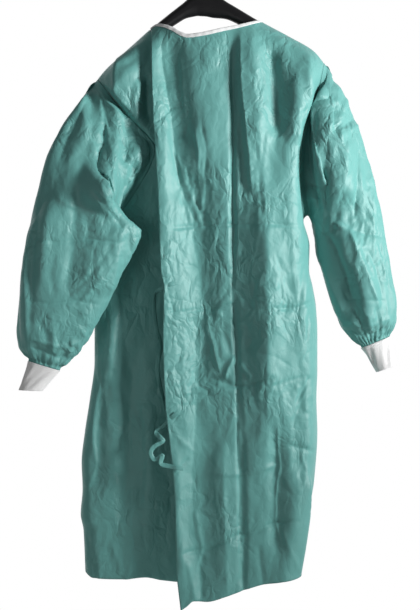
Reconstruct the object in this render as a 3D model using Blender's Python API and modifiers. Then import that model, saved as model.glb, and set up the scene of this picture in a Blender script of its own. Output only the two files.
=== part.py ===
"""Surgical gown of thin nonwoven cloth, hung by its shoulders on a plastic hanger.

The back of the gown faces -Y: a wide right back panel laps over the left one.
The front faces +Y, +X is to the right when the back is looked at, and +Z is up.
The origin is the inner top of the hanger's hook, where a rail carries it.
All tables and sizes are in millimetres, and MM turns them into Blender's metres.
"""
import math
from collections import namedtuple

import bmesh
import bpy
from mathutils import Vector

MM = 0.001

# Walls and clearances
CLOTH = 1.4
KNIT = 2.0
BINDING_WALL = 1.0
SEAM_GAP = 0.3
SEAT_GAP = 1.1
TRIM_GAP = 0.6
STEEP_GAP = 1.4

# Cloth behaviour near its edges
SHOULDER_DROP = 90.0
CREST_FLAT = 0.3
FRONT_ROUND = 50.0
OUTER_ROUND = 42.0
INNER_ROUND = 36.0
OVERLAP_LIFT = 8.0
OVERLAP_END = 14.0
LIFT_FADE = 50.0

# Grid of each panel: rows down the armhole and down the side seam, and columns across
ARMHOLE_ROWS = 12
SIDE_ROWS = 14
SHOULDER_COLUMNS = 7
LAP_COLUMNS = 19
NECK_COLUMNS = 12
INNER_COLUMNS = 11

# Neck binding, cuffs and ties
INNER_NECK_DROP = 4.0
BINDING_WIDTH = 9.0
BINDING_CAP = 0.6
BINDING_END = 0.12
BINDING_INSET = 5.0
TIE_WIDTH = 8.0
TIE_WALL = 1.0
TIE_STEPS = 24

# Hanger
HOOK_INNER_RADIUS = 20.0
HOOK_WIRE = 3.6
HOOK_STEM_X = -4.0
HOOK_SOCKET_DEPTH = 14.0
HOOK_END_ANGLE = 205.0
HANGER_SIDES = 12
HANGER_STATIONS = 34


def table(columns, *rows):
    row = namedtuple("Row", columns)
    return [row(*values) for values in rows]


# The line over the shoulders where the cloth lies on the hanger's arms
CREST = table(
    "x z",
    (-262, -325), (-243, -286), (-230, -264), (-213, -243), (-187, -219), (-150, -186),
    (-118, -157), (-100, -141), (-46, -98), (-4, -66), (56, -99), (120, -137),
    (185, -172), (236, -202), (259, -229), (272, -250), (290, -285),
)
# Height and thickness of the hanger's arms below that line
HANGER = table(
    "x tall thick",
    (-218, 14, 15), (-210, 24, 22), (-190, 29, 26), (-150, 31, 27), (-100, 31, 27),
    (-46, 36, 26), (-18, 54, 25), (-4, 60, 25), (12, 58, 25), (56, 36, 26), (120, 31, 27),
    (185, 31, 27), (222, 28, 26), (238, 23, 22), (246, 14, 15),
)
# The back neck edge of the lapping panel, and the front neck edge
BACK_NECK = table(
    "x z",
    (-114, -159), (-101, -151), (-86, -154), (-65, -163), (-47, -174), (-35, -178),
    (-3, -174), (34, -165), (81, -153), (105, -145), (122, -138.3),
)
FRONT_NECK = table(
    "x z",
    (-118, -157), (-108, -178), (-85, -208), (-50, -230), (0, -240), (50, -230),
    (88, -206), (112, -172), (122, -138.3),
)
# Side seams below the underarms
LEFT_SIDE = table(
    "z x",
    (-600, -210), (-680, -222), (-735, -232), (-792, -237), (-873, -237), (-956, -247),
    (-1028, -258), (-1094, -265), (-1151, -263), (-1206, -267), (-1240, -261), (-1328, -257),
)
RIGHT_SIDE = table(
    "z x",
    (-575, 215), (-626, 228), (-675, 227), (-715, 235), (-758, 242), (-815, 245),
    (-892, 245), (-956, 243), (-1028, 245), (-1129, 238), (-1186, 229), (-1243, 221),
    (-1322, 209),
)
# Armhole edges from the shoulder tip to the underarm; slack is how far the cloth would still run on
LEFT_BACK_ARMHOLE = table(
    "z x slack",
    (-264, -230, 12), (-313, -193, 25), (-350, -161, 40), (-398, -114, 50), (-414, -104, 55),
    (-450, -112, 60), (-500, -140, 50), (-555, -178, 28), (-600, -210, 0),
)
LEFT_FRONT_ARMHOLE = table(
    "z x slack",
    (-264, -230, 12), (-330, -214, 8), (-400, -202, 7), (-480, -197, 6), (-550, -202, 4),
    (-600, -210, 0),
)
RIGHT_BACK_ARMHOLE = table(
    "z x slack",
    (-229, 259, 12), (-295, 243, 9), (-340, 227, 7), (-379, 215, 7), (-430, 208, 7),
    (-480, 206, 6), (-530, 209, 4), (-575, 215, 0),
)
RIGHT_FRONT_ARMHOLE = table(
    "z x slack",
    (-229, 259, 12), (-300, 240, 9), (-370, 225, 7), (-450, 215, 6), (-520, 212, 4),
    (-575, 215, 0),
)
# Free edge of the lapping panel, and the hidden free edge of the panel under it
OUTER_EDGE = table(
    "z x",
    (-159, -114), (-239, -112), (-304, -110), (-368, -107), (-454, -101), (-535, -97),
    (-586, -95), (-676, -91), (-715, -85), (-822, -87), (-961, -82), (-1053, -72),
    (-1186, -63), (-1301, -59), (-1397, -49),
)
INNER_EDGE = table("z x", (-182, 12), (-600, 14), (-1000, 18), (-1352, 24))
# Hems
OUTER_HEM = table(
    "x z",
    (-49, -1397), (-36, -1388), (-22, -1377), (6, -1379), (49, -1367), (86, -1355),
    (126, -1343), (160, -1338), (189, -1332), (209, -1322),
)
INNER_HEM = table(
    "x z",
    (-257, -1328), (-239, -1338), (-171, -1340), (-125, -1336), (-90, -1342), (24, -1352),
)
FRONT_HEM = table("x z", (-257, -1328), (-150, -1331), (-40, -1328), (90, -1326), (209, -1322))
# How far each layer stands out from the side seams' plane
DEPTH = table(
    "z outer inner front",
    (-60, 50, 44, 45), (-200, 55, 42, 46), (-400, 64, 44, 54), (-450, 66, 42, 58),
    (-520, 68, 33, 62), (-600, 70, 27, 66), (-800, 73, 30, 74), (-1000, 76, 34, 80),
    (-1200, 79, 38, 84), (-1400, 82, 42, 86),
)
# Largest folds, as soft troughs from one end to the other; a negative depth is a ridge
OUTER_FOLDS = table(
    "x_top z_top x_end z_end width depth",
    (60, -160, 62, -760, 11, 12),
    (62, -700, 80, -1040, 12, 9),
    (80, -960, 84, -1460, 16, 11),
    (-72, -130, -30, -480, 24, 11),
    (-16, -340, 4, -1080, 34, 14),
    (6, -900, 2, -1480, 28, 10),
    (-88, -260, -84, -900, 22, -6),
    (102, -130, 122, -480, 24, -12),
    (128, -360, 142, -1080, 32, -13),
    (138, -150, 164, -440, 17, 13),
    (194, -240, 200, -440, 13, -8),
    (150, -960, 158, -1340, 20, 11),
    (206, -800, 202, -1200, 16, 5),
    (-58, -1000, -44, -1400, 16, -7),
    (20, -760, 128, -860, 30, 7),
)
INNER_FOLDS = table(
    "x_top z_top x_end z_end width depth",
    (-166, -240, -150, -330, 22, -6),
    (-126, -250, -118, -380, 12, 10),
    (-182, -730, -216, -960, 13, -9),
    (-206, -770, -238, -1250, 16, 8),
    (-150, -760, -176, -1300, 22, 9),
    (-120, -900, -112, -1340, 20, -7),
)
FRONT_FOLDS = table(
    "x_top z_top x_end z_end width depth",
    (-120, -260, -140, -1330, 26, -12),
    (-30, -320, -24, -1330, 30, 9),
    (60, -300, 84, -1330, 26, -12),
    (150, -320, 156, -1330, 24, 8),
)
# Sleeve sections: outer and inner end, middle in depth, and half depth
LEFT_SLEEVE = table(
    "outer_x outer_z inner_x inner_z middle half",
    (-264, -318, -182, -592, -54, 34),
    (-286, -350, -156, -594, -64, 34),
    (-312, -396, -140, -592, -74, 36),
    (-334, -450, -133, -596, -81, 38),
    (-350, -512, -133, -606, -84, 37),
    (-364, -580, -142, -630, -84, 36),
    (-377, -660, -168, -680, -82, 35),
    (-388, -745, -199, -744, -80, 34),
    (-395, -806, -228, -796, -78, 31),
    (-391, -838, -262, -850, -76, 25),
    (-380, -857, -290, -878, -75, 17),
    (-369, -866.5, -303, -886.5, -74, 13),
    (-371, -871, -305, -891, -74, 13),
)
RIGHT_SLEEVE = table(
    "outer_x outer_z inner_x inner_z middle half",
    (286, -276, 236, -586, 4, 46),
    (306, -312, 240, -612, 4, 50),
    (328, -356, 242, -634, 2, 50),
    (346, -410, 244, -646, 0, 48),
    (362, -470, 247, -656, -2, 46),
    (380, -540, 253, -672, -4, 44),
    (393, -610, 262, -704, -6, 42),
    (404, -680, 276, -750, -8, 38),
    (415, -745, 296, -798, -10, 33),
    (413, -786, 318, -824, -10, 25),
    (407, -804, 331, -836, -10, 17),
    (399.5, -815.4, 338.5, -840.4, -10, 13),
    (401, -820, 340, -845, -10, 13),
)
LEFT_SLEEVE_FOLDS = table(
    "x_top z_top x_end z_end width depth",
    (-214, -470, -186, -560, 44, -26),
    (-190, -600, -240, -760, 34, -12),
    (-236, -380, -262, -640, 26, 10),
    (-300, -470, -330, -760, 26, -9),
    (-330, -820, -262, -852, 14, 6),
)
RIGHT_SLEEVE_FOLDS = table(
    "x_top z_top x_end z_end width depth",
    (272, -330, 318, -560, 34, -10),
    (330, -300, 300, -370, 12, 7),
    (222, -490, 268, -520, 26, 18),
    (262, -566, 322, -640, 16, -8),
    (322, -640, 366, -760, 20, -9),
    (290, -660, 330, -770, 22, 10),
)
# Cuff sections below each wrist seam, as shares of the first one's width and depth
LEFT_CUFF = table(
    "x z reach_x reach_z half",
    (-338, -881.3, 33, 10, 13), (-345, -895, 30, 7, 13), (-356, -914, 27, 3, 13),
    (-367, -933.5, 24, 0.5, 13),
)
RIGHT_CUFF = table(
    "x z reach_x reach_z half",
    (370.6, -833, 30.5, 12.5, 13), (376, -846, 27, 10, 13), (385, -868, 23.5, 8, 13),
    (394, -890, 20.5, 7.5, 13),
)
# Ties: their free run, and how far each stays behind the lapping panel's inner face
UPPER_TIE = table(
    "x z behind",
    (-62, -708, 0.5), (-72, -710, 0.6), (-90, -719, 8), (-103, -731, 14), (-105, -768, 20),
    (-100, -809, 24), (-90, -840, 20), (-96, -864, 14), (-99, -890, 20), (-94, -921, 24),
    (-86, -951, 20), (-78, -988, 16),
)
LOWER_TIE = table(
    "x z behind",
    (-54, -981, 0.5), (-64, -987, 0.6), (-80, -1004, 8), (-92, -1015, 12), (-101, -1023, 10),
    (-92, -1033, 4), (-86, -1041, 2), (-104, -1051, 0), (-112, -1064, -2), (-104, -1078, -4),
    (-88, -1070, -6), (-90, -1086, -8), (-72, -1092, -7), (-43, -1096, -5),
)
# Directions in which a panel runs on from its armhole edge, at the shoulder tip and underarm
LEFT_TURN = (53.0, -99.0)
RIGHT_TURN = (130.0, -75.0)
LEFT_PUSH = table("gap on aside toward middle", (0.9, 12, 16, 30, 9.5))[0]
RIGHT_PUSH = table("gap on aside toward middle", (0.5, 12, 12, 0, 9.5))[0]
RUN_ON = 4.0
LEFT_UNDERARM = 1.2 * math.pi
RIGHT_UNDERARM = math.pi


def read(rows, key, column, at):
    """A column's value at one place of a table, on a smooth line that never overshoots its rows."""
    keys = [getattr(row, key) for row in rows]
    values = [getattr(row, column) for row in rows]
    if keys[0] > keys[-1]:
        keys.reverse()
        values.reverse()
    if at <= keys[0]:
        return values[0]
    if at >= keys[-1]:
        return values[-1]
    i = next(n for n in range(len(keys) - 1) if at <= keys[n + 1])
    spans = [keys[n + 1] - keys[n] for n in range(len(keys) - 1)]
    slopes = [(values[n + 1] - values[n]) / spans[n] for n in range(len(spans))]

    def tangent(n):
        if n == 0 or n == len(keys) - 1:
            return slopes[0] if n == 0 else slopes[-1]
        if slopes[n - 1] * slopes[n] <= 0:
            return 0.0
        return 2 / (1 / slopes[n - 1] + 1 / slopes[n])

    t = (at - keys[i]) / spans[i]
    rise_in = t * t * (3 - 2 * t)
    start = (t ** 3 - 2 * t * t + t) * spans[i] * tangent(i)
    end = (t ** 3 - t * t) * spans[i] * tangent(i + 1)
    return values[i] * (1 - rise_in) + values[i + 1] * rise_in + start + end


def crest(x):
    return read(CREST, "x", "z", x)


def rounded(share):
    """From 0 at an edge to 1 inside, upright at the edge, as cloth turns over one."""
    share = min(max(share, 0.0), 1.0)
    return math.sqrt(1 - (1 - share) ** 2)


def folds_at(rows, x, z):
    """Sum of the troughs and ridges at one place."""
    total = 0.0
    for fold in rows:
        along_x, along_z = fold.x_end - fold.x_top, fold.z_end - fold.z_top
        length = math.hypot(along_x, along_z)
        share = ((x - fold.x_top) * along_x + (z - fold.z_top) * along_z) / length ** 2
        aside = abs((x - fold.x_top) * along_z - (z - fold.z_top) * along_x) / length
        ends = min(max(min(share, 1 - share) * 4, 0.0), 1.0)
        ends *= ends * (3 - 2 * ends)
        total += fold.depth * ends * math.exp(-((aside / fold.width) ** 2))
    return total


def limit(armhole, side, z):
    """Where a panel's cloth would reach the side seams' plane at this height."""
    if z <= side[0].z:
        return read(side, "z", "x", z)
    outwards = 1 if side[0].x > 0 else -1
    return read(armhole, "z", "x", z) + outwards * read(armhole, "z", "slack", z)


def layer(depth, x, z, folds, below):
    """A panel's stand-off: it rises from the shoulder line and keeps its folds off every edge."""
    steady = rounded((crest(x) - z - CREST_FLAT) / SHOULDER_DROP) * below
    return steady * read(DEPTH, "z", depth, z) - steady * folds_at(folds, x, z)


def outer_y(x, z):
    below = rounded((limit(RIGHT_BACK_ARMHOLE, RIGHT_SIDE, z) - x) / OUTER_ROUND)
    lift = OVERLAP_LIFT * (1 - rounded((x - OVERLAP_END) / LIFT_FADE))
    return -layer("outer", x, z, OUTER_FOLDS, below) - lift - SEAM_GAP / 2


def inner_y(x, z):
    below = rounded((x - limit(LEFT_BACK_ARMHOLE, LEFT_SIDE, z)) / INNER_ROUND)
    return -layer("inner", x, z, INNER_FOLDS, below) - SEAM_GAP / 2


def front_y(x, z):
    left = rounded((x - limit(LEFT_FRONT_ARMHOLE, LEFT_SIDE, z)) / FRONT_ROUND)
    right = rounded((limit(RIGHT_FRONT_ARMHOLE, RIGHT_SIDE, z) - x) / FRONT_ROUND)
    return layer("front", x, z, FRONT_FOLDS, left * right) + SEAM_GAP / 2


def armhole_shares():
    """Rows down an armhole, close together over the hanger and again at the underarm."""
    shares = []
    for i in range(ARMHOLE_ROWS + 1):
        t = i / ARMHOLE_ROWS
        shares.append(t ** 2.2 * (1 - t * t) + (1 - (1 - t) ** 1.5) * t * t)
    return shares


def edge_down(armhole, side):
    """Points of a panel's armhole edge and side seam, as (x, z)."""
    top, low = armhole[0].z, armhole[-1].z
    heights = [top + (low - top) * share for share in armhole_shares()]
    points = [(read(armhole, "z", "x", z), z) for z in heights]
    for j in range(1, SIDE_ROWS + 1):
        z = side[0].z + (side[-1].z - side[0].z) * j / SIDE_ROWS
        points.append((read(side, "z", "x", z), z))
    return points


def spread(count, near_start, near_end):
    """Shares from 0 to 1, closer together towards an end that turns round a side."""
    shares = []
    for i in range(count + 1):
        t = i / count
        if near_start and near_end:
            shares.append((1 - math.cos(t * math.pi)) / 2)
        elif near_end:
            shares.append(0.75 * math.sin(t * math.pi / 2) + 0.25 * t)
        elif near_start:
            shares.append(1 - 0.75 * math.cos(t * math.pi / 2) - 0.25 * (1 - t))
        else:
            shares.append(t)
    return shares


def line_points(line, shares):
    """Points at shares of the way along a fine polyline."""
    reach = [0.0]
    for a, b in zip(line, line[1:]):
        reach.append(reach[-1] + math.dist(a, b))
    points = []
    for share in shares:
        at = share * reach[-1]
        i = next((n for n in range(len(line) - 1) if at <= reach[n + 1]), len(line) - 2)
        part = (at - reach[i]) / (reach[i + 1] - reach[i])
        points.append(tuple(p + (q - p) * part for p, q in zip(line[i], line[i + 1])))
    return points


def along_x(rows, start, end, step=2.0):
    """A table of heights as a fine line of (x, z) from one x to another."""
    count = max(2, round(abs(end - start) / step))
    steps = [start + (end - start) * i / count for i in range(count + 1)]
    return [(x, read(rows, "x", "z", x)) for x in steps]


def patch(top, bottom, left, right, shares):
    """A grid between four edge lines, as rows of (x, z)."""
    heights = [(z - right[0][1]) / (right[-1][1] - right[0][1]) for _, z in right]
    rows = []
    for i, v in enumerate(heights):
        row = []
        for j, u in enumerate(shares):
            point = []
            for k in (0, 1):
                across = (1 - v) * top[j][k] + v * bottom[j][k]
                down = (1 - u) * left[i][k] + u * right[i][k]
                ends = (1 - v) * ((1 - u) * top[0][k] + u * top[-1][k])
                ends += v * ((1 - u) * bottom[0][k] + u * bottom[-1][k])
                point.append(across + down - ends)
            row.append(tuple(point))
        rows.append(row)
    return rows


def down_z(rows, right):
    """A free edge's points (x, z), level with the rows of the panel's other edge."""
    top, low = rows[0].z, rows[-1].z
    shares = [(z - right[0][1]) / (right[-1][1] - right[0][1]) for _, z in right]
    return [(read(rows, "z", "x", top + (low - top) * v), top + (low - top) * v) for v in shares]


def outer_grid():
    neck_end, tip = BACK_NECK[-1].x, RIGHT_BACK_ARMHOLE[0].x
    neck = along_x(BACK_NECK, BACK_NECK[0].x, neck_end)
    shoulder = along_x(CREST, neck_end, tip)
    top = line_points(neck, spread(LAP_COLUMNS, False, True))[:-1]
    top += line_points(shoulder, spread(SHOULDER_COLUMNS, False, False))
    shares = spread(len(top) - 1, False, True)
    right = edge_down(RIGHT_BACK_ARMHOLE, RIGHT_SIDE)
    bottom = line_points(along_x(OUTER_HEM, OUTER_HEM[0].x, OUTER_HEM[-1].x), shares)
    grid = patch(top, bottom, down_z(OUTER_EDGE, right), right, shares)
    return [[(x, outer_y(x, z), z) for x, z in row] for row in grid]


def inner_grid():
    """The lapped panel; its rows are worked out from its free edge to its side, then turned."""
    tip, neck_start = LEFT_BACK_ARMHOLE[0].x, FRONT_NECK[0].x
    neck = along_x(BACK_NECK, INNER_EDGE[0].x, neck_start)
    neck = [(x, min(z - INNER_NECK_DROP, crest(x) - 0.2)) for x, z in neck]
    neck[-1] = (neck_start, crest(neck_start))
    shoulder = along_x(CREST, neck_start, tip)
    top = line_points(neck, spread(INNER_COLUMNS, False, True))[:-1]
    top += line_points(shoulder, spread(SHOULDER_COLUMNS, False, False))
    shares = spread(len(top) - 1, False, True)
    left = edge_down(LEFT_BACK_ARMHOLE, LEFT_SIDE)
    bottom = line_points(along_x(INNER_HEM, INNER_HEM[-1].x, INNER_HEM[0].x), shares)
    grid = patch(top, bottom, down_z(INNER_EDGE, left), left, shares)
    return [[(x, inner_y(x, z), z) for x, z in row[::-1]] for row in grid]


def front_grid():
    starts = LEFT_FRONT_ARMHOLE[0].x, FRONT_NECK[0].x, FRONT_NECK[-1].x, RIGHT_FRONT_ARMHOLE[0].x
    top = line_points(along_x(CREST, starts[0], starts[1]), spread(SHOULDER_COLUMNS, False, False))
    neck = along_x(FRONT_NECK, starts[1], starts[2], 0.5)
    top = top[:-1] + line_points(neck, spread(NECK_COLUMNS, True, True))[:-1]
    top += line_points(along_x(CREST, starts[2], starts[3]), spread(SHOULDER_COLUMNS, False, False))
    shares = spread(len(top) - 1, True, True)
    left = edge_down(LEFT_FRONT_ARMHOLE, LEFT_SIDE)
    right = edge_down(RIGHT_FRONT_ARMHOLE, RIGHT_SIDE)
    bottom = line_points(along_x(FRONT_HEM, FRONT_HEM[0].x, FRONT_HEM[-1].x), shares)
    grid = patch(top, bottom, left, right, shares)
    return [[(x, front_y(x, z), z) for x, z in row] for row in grid]


def armhole_ring(back, front, back_y, front_y_at, turn, push):
    """The sleeve's first rings: the armhole's edge, the same edge run on, and that one pushed out."""
    shares = armhole_shares()
    top, low = back[0].z, back[-1].z
    outwards = 1 if back[0].x > 0 else -1
    look_in = 8.0
    first, second, third = [], [], []
    for i in range(2 * ARMHOLE_ROWS):
        n = i if i <= ARMHOLE_ROWS else 2 * ARMHOLE_ROWS - i
        rows, depth = (back, back_y) if i <= ARMHOLE_ROWS else (front, front_y_at)
        z = top + (low - top) * shares[n]
        x = read(rows, "z", "x", z)
        ahead = Vector((read(rows, "z", "x", z - 2) - read(rows, "z", "x", z + 2), 0, -4))
        inward = Vector((ahead.z, 0, -ahead.x)).normalized() * outwards
        for end, near in ((0, 0), (1, ARMHOLE_ROWS)):
            share = max(0.0, 1 - abs(n - near) / 2)
            angle = math.radians(turn[end])
            inward = inward.lerp(Vector((math.cos(angle), 0, math.sin(angle))), share)
        inward = inward.normalized() * look_in
        at_end = n in (0, ARMHOLE_ROWS)
        here = Vector((x, 0 if at_end else depth(x, z), z))
        inside_y = 0 if at_end else depth(x + inward.x, z + inward.z)
        away = (here - Vector((x + inward.x, inside_y, z + inward.z))).normalized()
        first.append(here + away * push.gap)
        second.append(here + away * (push.gap + RUN_ON))
        side = outwards * push.aside * math.exp(-(((n - ARMHOLE_ROWS) / 2.5) ** 2))
        toward = push.toward * math.exp(-(((i - push.middle) / 2.2) ** 2))
        third.append(second[-1] + away * push.on + Vector((side, -toward, 0)))
    return first, second, third


def section_ring(row, underarm, folds):
    """One sleeve section, as a slightly boxy oval between its outer and inner ends."""
    ring = []
    for i in range(2 * ARMHOLE_ROWS):
        if i <= ARMHOLE_ROWS:
            angle = underarm * i / ARMHOLE_ROWS
        else:
            angle = underarm + (2 * math.pi - underarm) * (i / ARMHOLE_ROWS - 1)
        share = (1 + math.cos(angle)) / 2
        x = row.inner_x + (row.outer_x - row.inner_x) * share
        z = row.inner_z + (row.outer_z - row.inner_z) * share
        side = math.sin(angle)
        y = row.middle - row.half * side
        if side > 0:
            y += side * folds_at(folds, x, z)
        ring.append(Vector((x, y, z)))
    return ring


def sleeve_rings(rings, rows, underarm, folds):
    return list(rings) + [section_ring(row, underarm, folds) for row in rows]


def cuff_rings(rows, middle, gap):
    """A knit tube that starts one gap below the wrist seam."""
    along = Vector((rows[1].x - rows[0].x, 0, rows[1].z - rows[0].z)).normalized()
    rings = []
    for n, row in enumerate(rows):
        ring = []
        for i in range(2 * ARMHOLE_ROWS):
            angle = math.pi * i / ARMHOLE_ROWS
            x = row.x + row.reach_x * math.cos(angle)
            z = row.z + row.reach_z * math.cos(angle) * (1 if rows is RIGHT_CUFF else -1)
            point = Vector((x, middle - row.half * math.sin(angle), z))
            ring.append(point + along * gap if n == 0 else point)
        rings.append(ring)
    return rings


def outward_at(depth, x, z, sign):
    """The cloth's outward direction at one place, from its slope there."""
    step = 1.0
    slope_x = (depth(x + step, z) - depth(x - step, z)) / (2 * step)
    slope_z = (depth(x, z + step) - depth(x, z - step)) / (2 * step)
    return Vector((-slope_x, 1, -slope_z)).normalized() * sign


def binding_rows(edge, depth, sign):
    """A strip over a neck edge: down the outside of the cloth, and a narrow cap over its edge."""
    edge = [Vector(point) for point in edge]
    edge[0] = edge[0].lerp(edge[1], BINDING_END)
    edge[-1] = edge[-1].lerp(edge[-2], BINDING_END)
    rows = [[], [], [], []]
    for i, point in enumerate(edge):
        ahead = edge[min(i + 1, len(edge) - 1)] - edge[max(i - 1, 0)]
        places = [(point, outward_at(depth, point.x, point.z, sign))]
        for _ in range(2):
            here, out = places[-1]
            inward = out.cross(ahead).normalized() * sign * BINDING_WIDTH / 2
            x, z = here.x + inward.x, here.z + inward.z
            places.append((Vector((x, depth(x, z), z)), outward_at(depth, x, z, sign)))
        off = (point - places[1][0]).normalized()
        out = places[0][1]
        gap = TRIM_GAP + STEEP_GAP * abs(2 * i / (len(edge) - 1) - 1) ** 2
        rows[0].append(point + off * BINDING_CAP - out * TRIM_GAP)
        rows[1].append(point + off * BINDING_CAP + out * (CLOTH + gap))
        for row, (here, out) in zip(rows[2:], places[1:]):
            row.append(here + out * (CLOTH + gap))
    return rows


def ribbon_rows(rows, width):
    """A flat tie along a smooth path, turned to face out of the opening."""
    path = []
    for i in range(TIE_STEPS + 1):
        at = i / TIE_STEPS * (len(rows) - 1)
        n = min(int(at), len(rows) - 2)
        t = at - n
        before = rows[max(n - 1, 0)]
        after = rows[min(n + 2, len(rows) - 1)]
        point = []
        for a, b, c, d in zip(before, rows[n], rows[n + 1], after):
            bend = (2 * a - 5 * b + 4 * c - d) * t * t + (3 * b - a - 3 * c + d) * t ** 3
            point.append(0.5 * (2 * b + (c - a) * t + bend))
        path.append(Vector((point[0], outer_y(point[0], point[1]) + point[2], point[1])))
    left, right = [], []
    for i, here in enumerate(path):
        ahead = path[min(i + 1, TIE_STEPS)] - path[max(i - 1, 0)]
        side = ahead.cross(Vector((0, 1, 0))).normalized() * width / 2
        left.append(here - side)
        right.append(here + side)
    return [left, right]


def material(name, colour, roughness):
    made = bpy.data.materials.new(name)
    made.use_nodes = True
    shader = made.node_tree.nodes["Principled BSDF"]
    shader.inputs["Base Color"].default_value = (*colour, 1.0)
    shader.inputs["Roughness"].default_value = roughness
    shader.inputs["Metallic"].default_value = 0.0
    return made


def surface(name, rows, closed, outward):
    """An open sheet through rows of points in millimetres, with its faces turned outwards."""
    shape = bmesh.new()
    grid = [[shape.verts.new(Vector(point) * MM) for point in row] for row in rows]
    for above, below in zip(grid, grid[1:]):
        count = len(above)
        for j in range(count if closed else count - 1):
            k = (j + 1) % count
            shape.faces.new((above[j], below[j], below[k], above[k]))
    mesh = bpy.data.meshes.new(name)
    if outward < 0:
        bmesh.ops.reverse_faces(shape, faces=shape.faces)
    shape.to_mesh(mesh)
    shape.free()
    mesh.shade_smooth()
    return bpy.data.objects.new(name, mesh)


def wall(name, rows, closed, outward, thickness, paint, where):
    piece = surface(name, rows, closed, outward)
    solid = piece.modifiers.new("Wall", "SOLIDIFY")
    solid.thickness = thickness * MM
    solid.offset = 1.0
    solid.use_rim = True
    piece.data.materials.append(paint)
    where.objects.link(piece)
    return piece


def hanger_arms(paint, where):
    """Both arms as one bar of rounded sections, rounder at its ends, with a socket for the hook."""
    shape = bmesh.new()
    span = HANGER[-1].x - HANGER[0].x
    stations = [HANGER[0].x + span * i / HANGER_STATIONS for i in range(HANGER_STATIONS + 1)]
    rings = []
    for x in stations:
        tall = read(HANGER, "x", "tall", x) / 2
        thick = read(HANGER, "x", "thick", x) / 2
        top = crest(x) - SEAT_GAP
        ring = []
        for k in range(HANGER_SIDES):
            angle = 2 * math.pi * k / HANGER_SIDES
            place = Vector((x, thick * math.cos(angle), top - tall + tall * math.sin(angle)))
            ring.append(shape.verts.new(place * MM))
        rings.append(ring)
    for a, b in zip(rings, rings[1:]):
        for k in range(HANGER_SIDES):
            n = (k + 1) % HANGER_SIDES
            shape.faces.new((a[k], b[k], b[n], a[n]))
    shape.faces.new(rings[0])
    shape.faces.new(rings[-1][::-1])
    bmesh.ops.recalc_face_normals(shape, faces=shape.faces)
    mesh = bpy.data.meshes.new("hanger_body")
    shape.to_mesh(mesh)
    shape.free()
    mesh.shade_smooth()
    body = bpy.data.objects.new("hanger_body", mesh)
    body.data.materials.append(paint)
    where.objects.link(body)
    return body


def socket_cutter(where):
    """The hole in the hanger's middle that takes the hook's stem."""
    shape = bmesh.new()
    radius = (HOOK_WIRE / 2 + SEAM_GAP) * MM
    bmesh.ops.create_cone(
        shape, cap_ends=True, segments=12, radius1=radius, radius2=radius,
        depth=2 * HOOK_SOCKET_DEPTH * MM,
    )
    mesh = bpy.data.meshes.new("hook_socket")
    shape.to_mesh(mesh)
    shape.free()
    cutter = bpy.data.objects.new("hook_socket", mesh)
    cutter.location = Vector((HOOK_STEM_X, 0, crest(HOOK_STEM_X))) * MM
    cutter.hide_render = True
    cutter.display_type = "WIRE"
    where.objects.link(cutter)
    return cutter


def hook(paint, where):
    """A round wire that rises from the hanger's middle and bends over the rail."""
    radius = HOOK_INNER_RADIUS + HOOK_WIRE / 2
    middle_z = -HOOK_INNER_RADIUS
    foot = crest(HOOK_STEM_X) - HOOK_SOCKET_DEPTH + 1.0
    start = math.degrees(math.asin(HOOK_STEM_X / radius)) - 90
    points = [Vector((HOOK_STEM_X, 0, foot)), Vector((HOOK_STEM_X, 0, crest(HOOK_STEM_X) + 6))]
    for i in range(19):
        angle = math.radians(start + (HOOK_END_ANGLE - start) * i / 18)
        points.append(Vector((radius * math.cos(angle), 0, middle_z + radius * math.sin(angle))))
    curve = bpy.data.curves.new("hanger_hook", "CURVE")
    curve.dimensions = "3D"
    curve.bevel_depth = HOOK_WIRE / 2 * MM
    curve.bevel_resolution = 2
    curve.use_fill_caps = True
    line = curve.splines.new("POLY")
    line.points.add(len(points) - 1)
    for slot, point in zip(line.points, points):
        slot.co = (*(point * MM), 1.0)
    wire = bpy.data.objects.new("hanger_hook", curve)
    wire.data.materials.append(paint)
    where.objects.link(wire)
    return wire


def build_hanger(model, cutters):
    plastic = material("black_plastic", (0.012, 0.012, 0.013), 0.38)
    steel = material("hook_steel", (0.62, 0.62, 0.64), 0.28)
    steel.node_tree.nodes["Principled BSDF"].inputs["Metallic"].default_value = 1.0
    body = hanger_arms(plastic, model)
    bore = body.modifiers.new("Socket", "BOOLEAN")
    bore.operation = "DIFFERENCE"
    bore.object = socket_cutter(cutters)
    hook(steel, model)


def build_panels(model):
    outer, inner, front = outer_grid(), inner_grid(), front_grid()
    for name, grid, outward, tint in (
        ("back_right", outer, -1, (0.20, 0.43, 0.41)),
        ("back_left", inner, -1, (0.17, 0.38, 0.37)),
        ("front", front, 1, (0.20, 0.43, 0.41)),
    ):
        wall(name, grid, False, -outward, CLOTH, material(name + "_cloth", tint, 0.62), model)
    white = (0.86, 0.87, 0.87)
    neck_start, neck_end = FRONT_NECK[0].x, BACK_NECK[-1].x
    for name, grid, depth, sign, start, end in (
        ("binding_back_right", outer, outer_y, -1, OUTER_EDGE[0].x, neck_end - BINDING_INSET),
        ("binding_back_left", inner, inner_y, -1, neck_start + BINDING_INSET, INNER_EDGE[0].x),
        ("binding_front", front, front_y, 1, neck_start + BINDING_INSET, neck_end - BINDING_INSET),
    ):
        edge = [point for point in grid[0] if start - 0.5 <= point[0] <= end + 0.5]
        strip = binding_rows(edge, depth, sign)
        wall(name, strip, False, -sign, BINDING_WALL, material(name + "_tape", white, 0.8), model)


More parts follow.
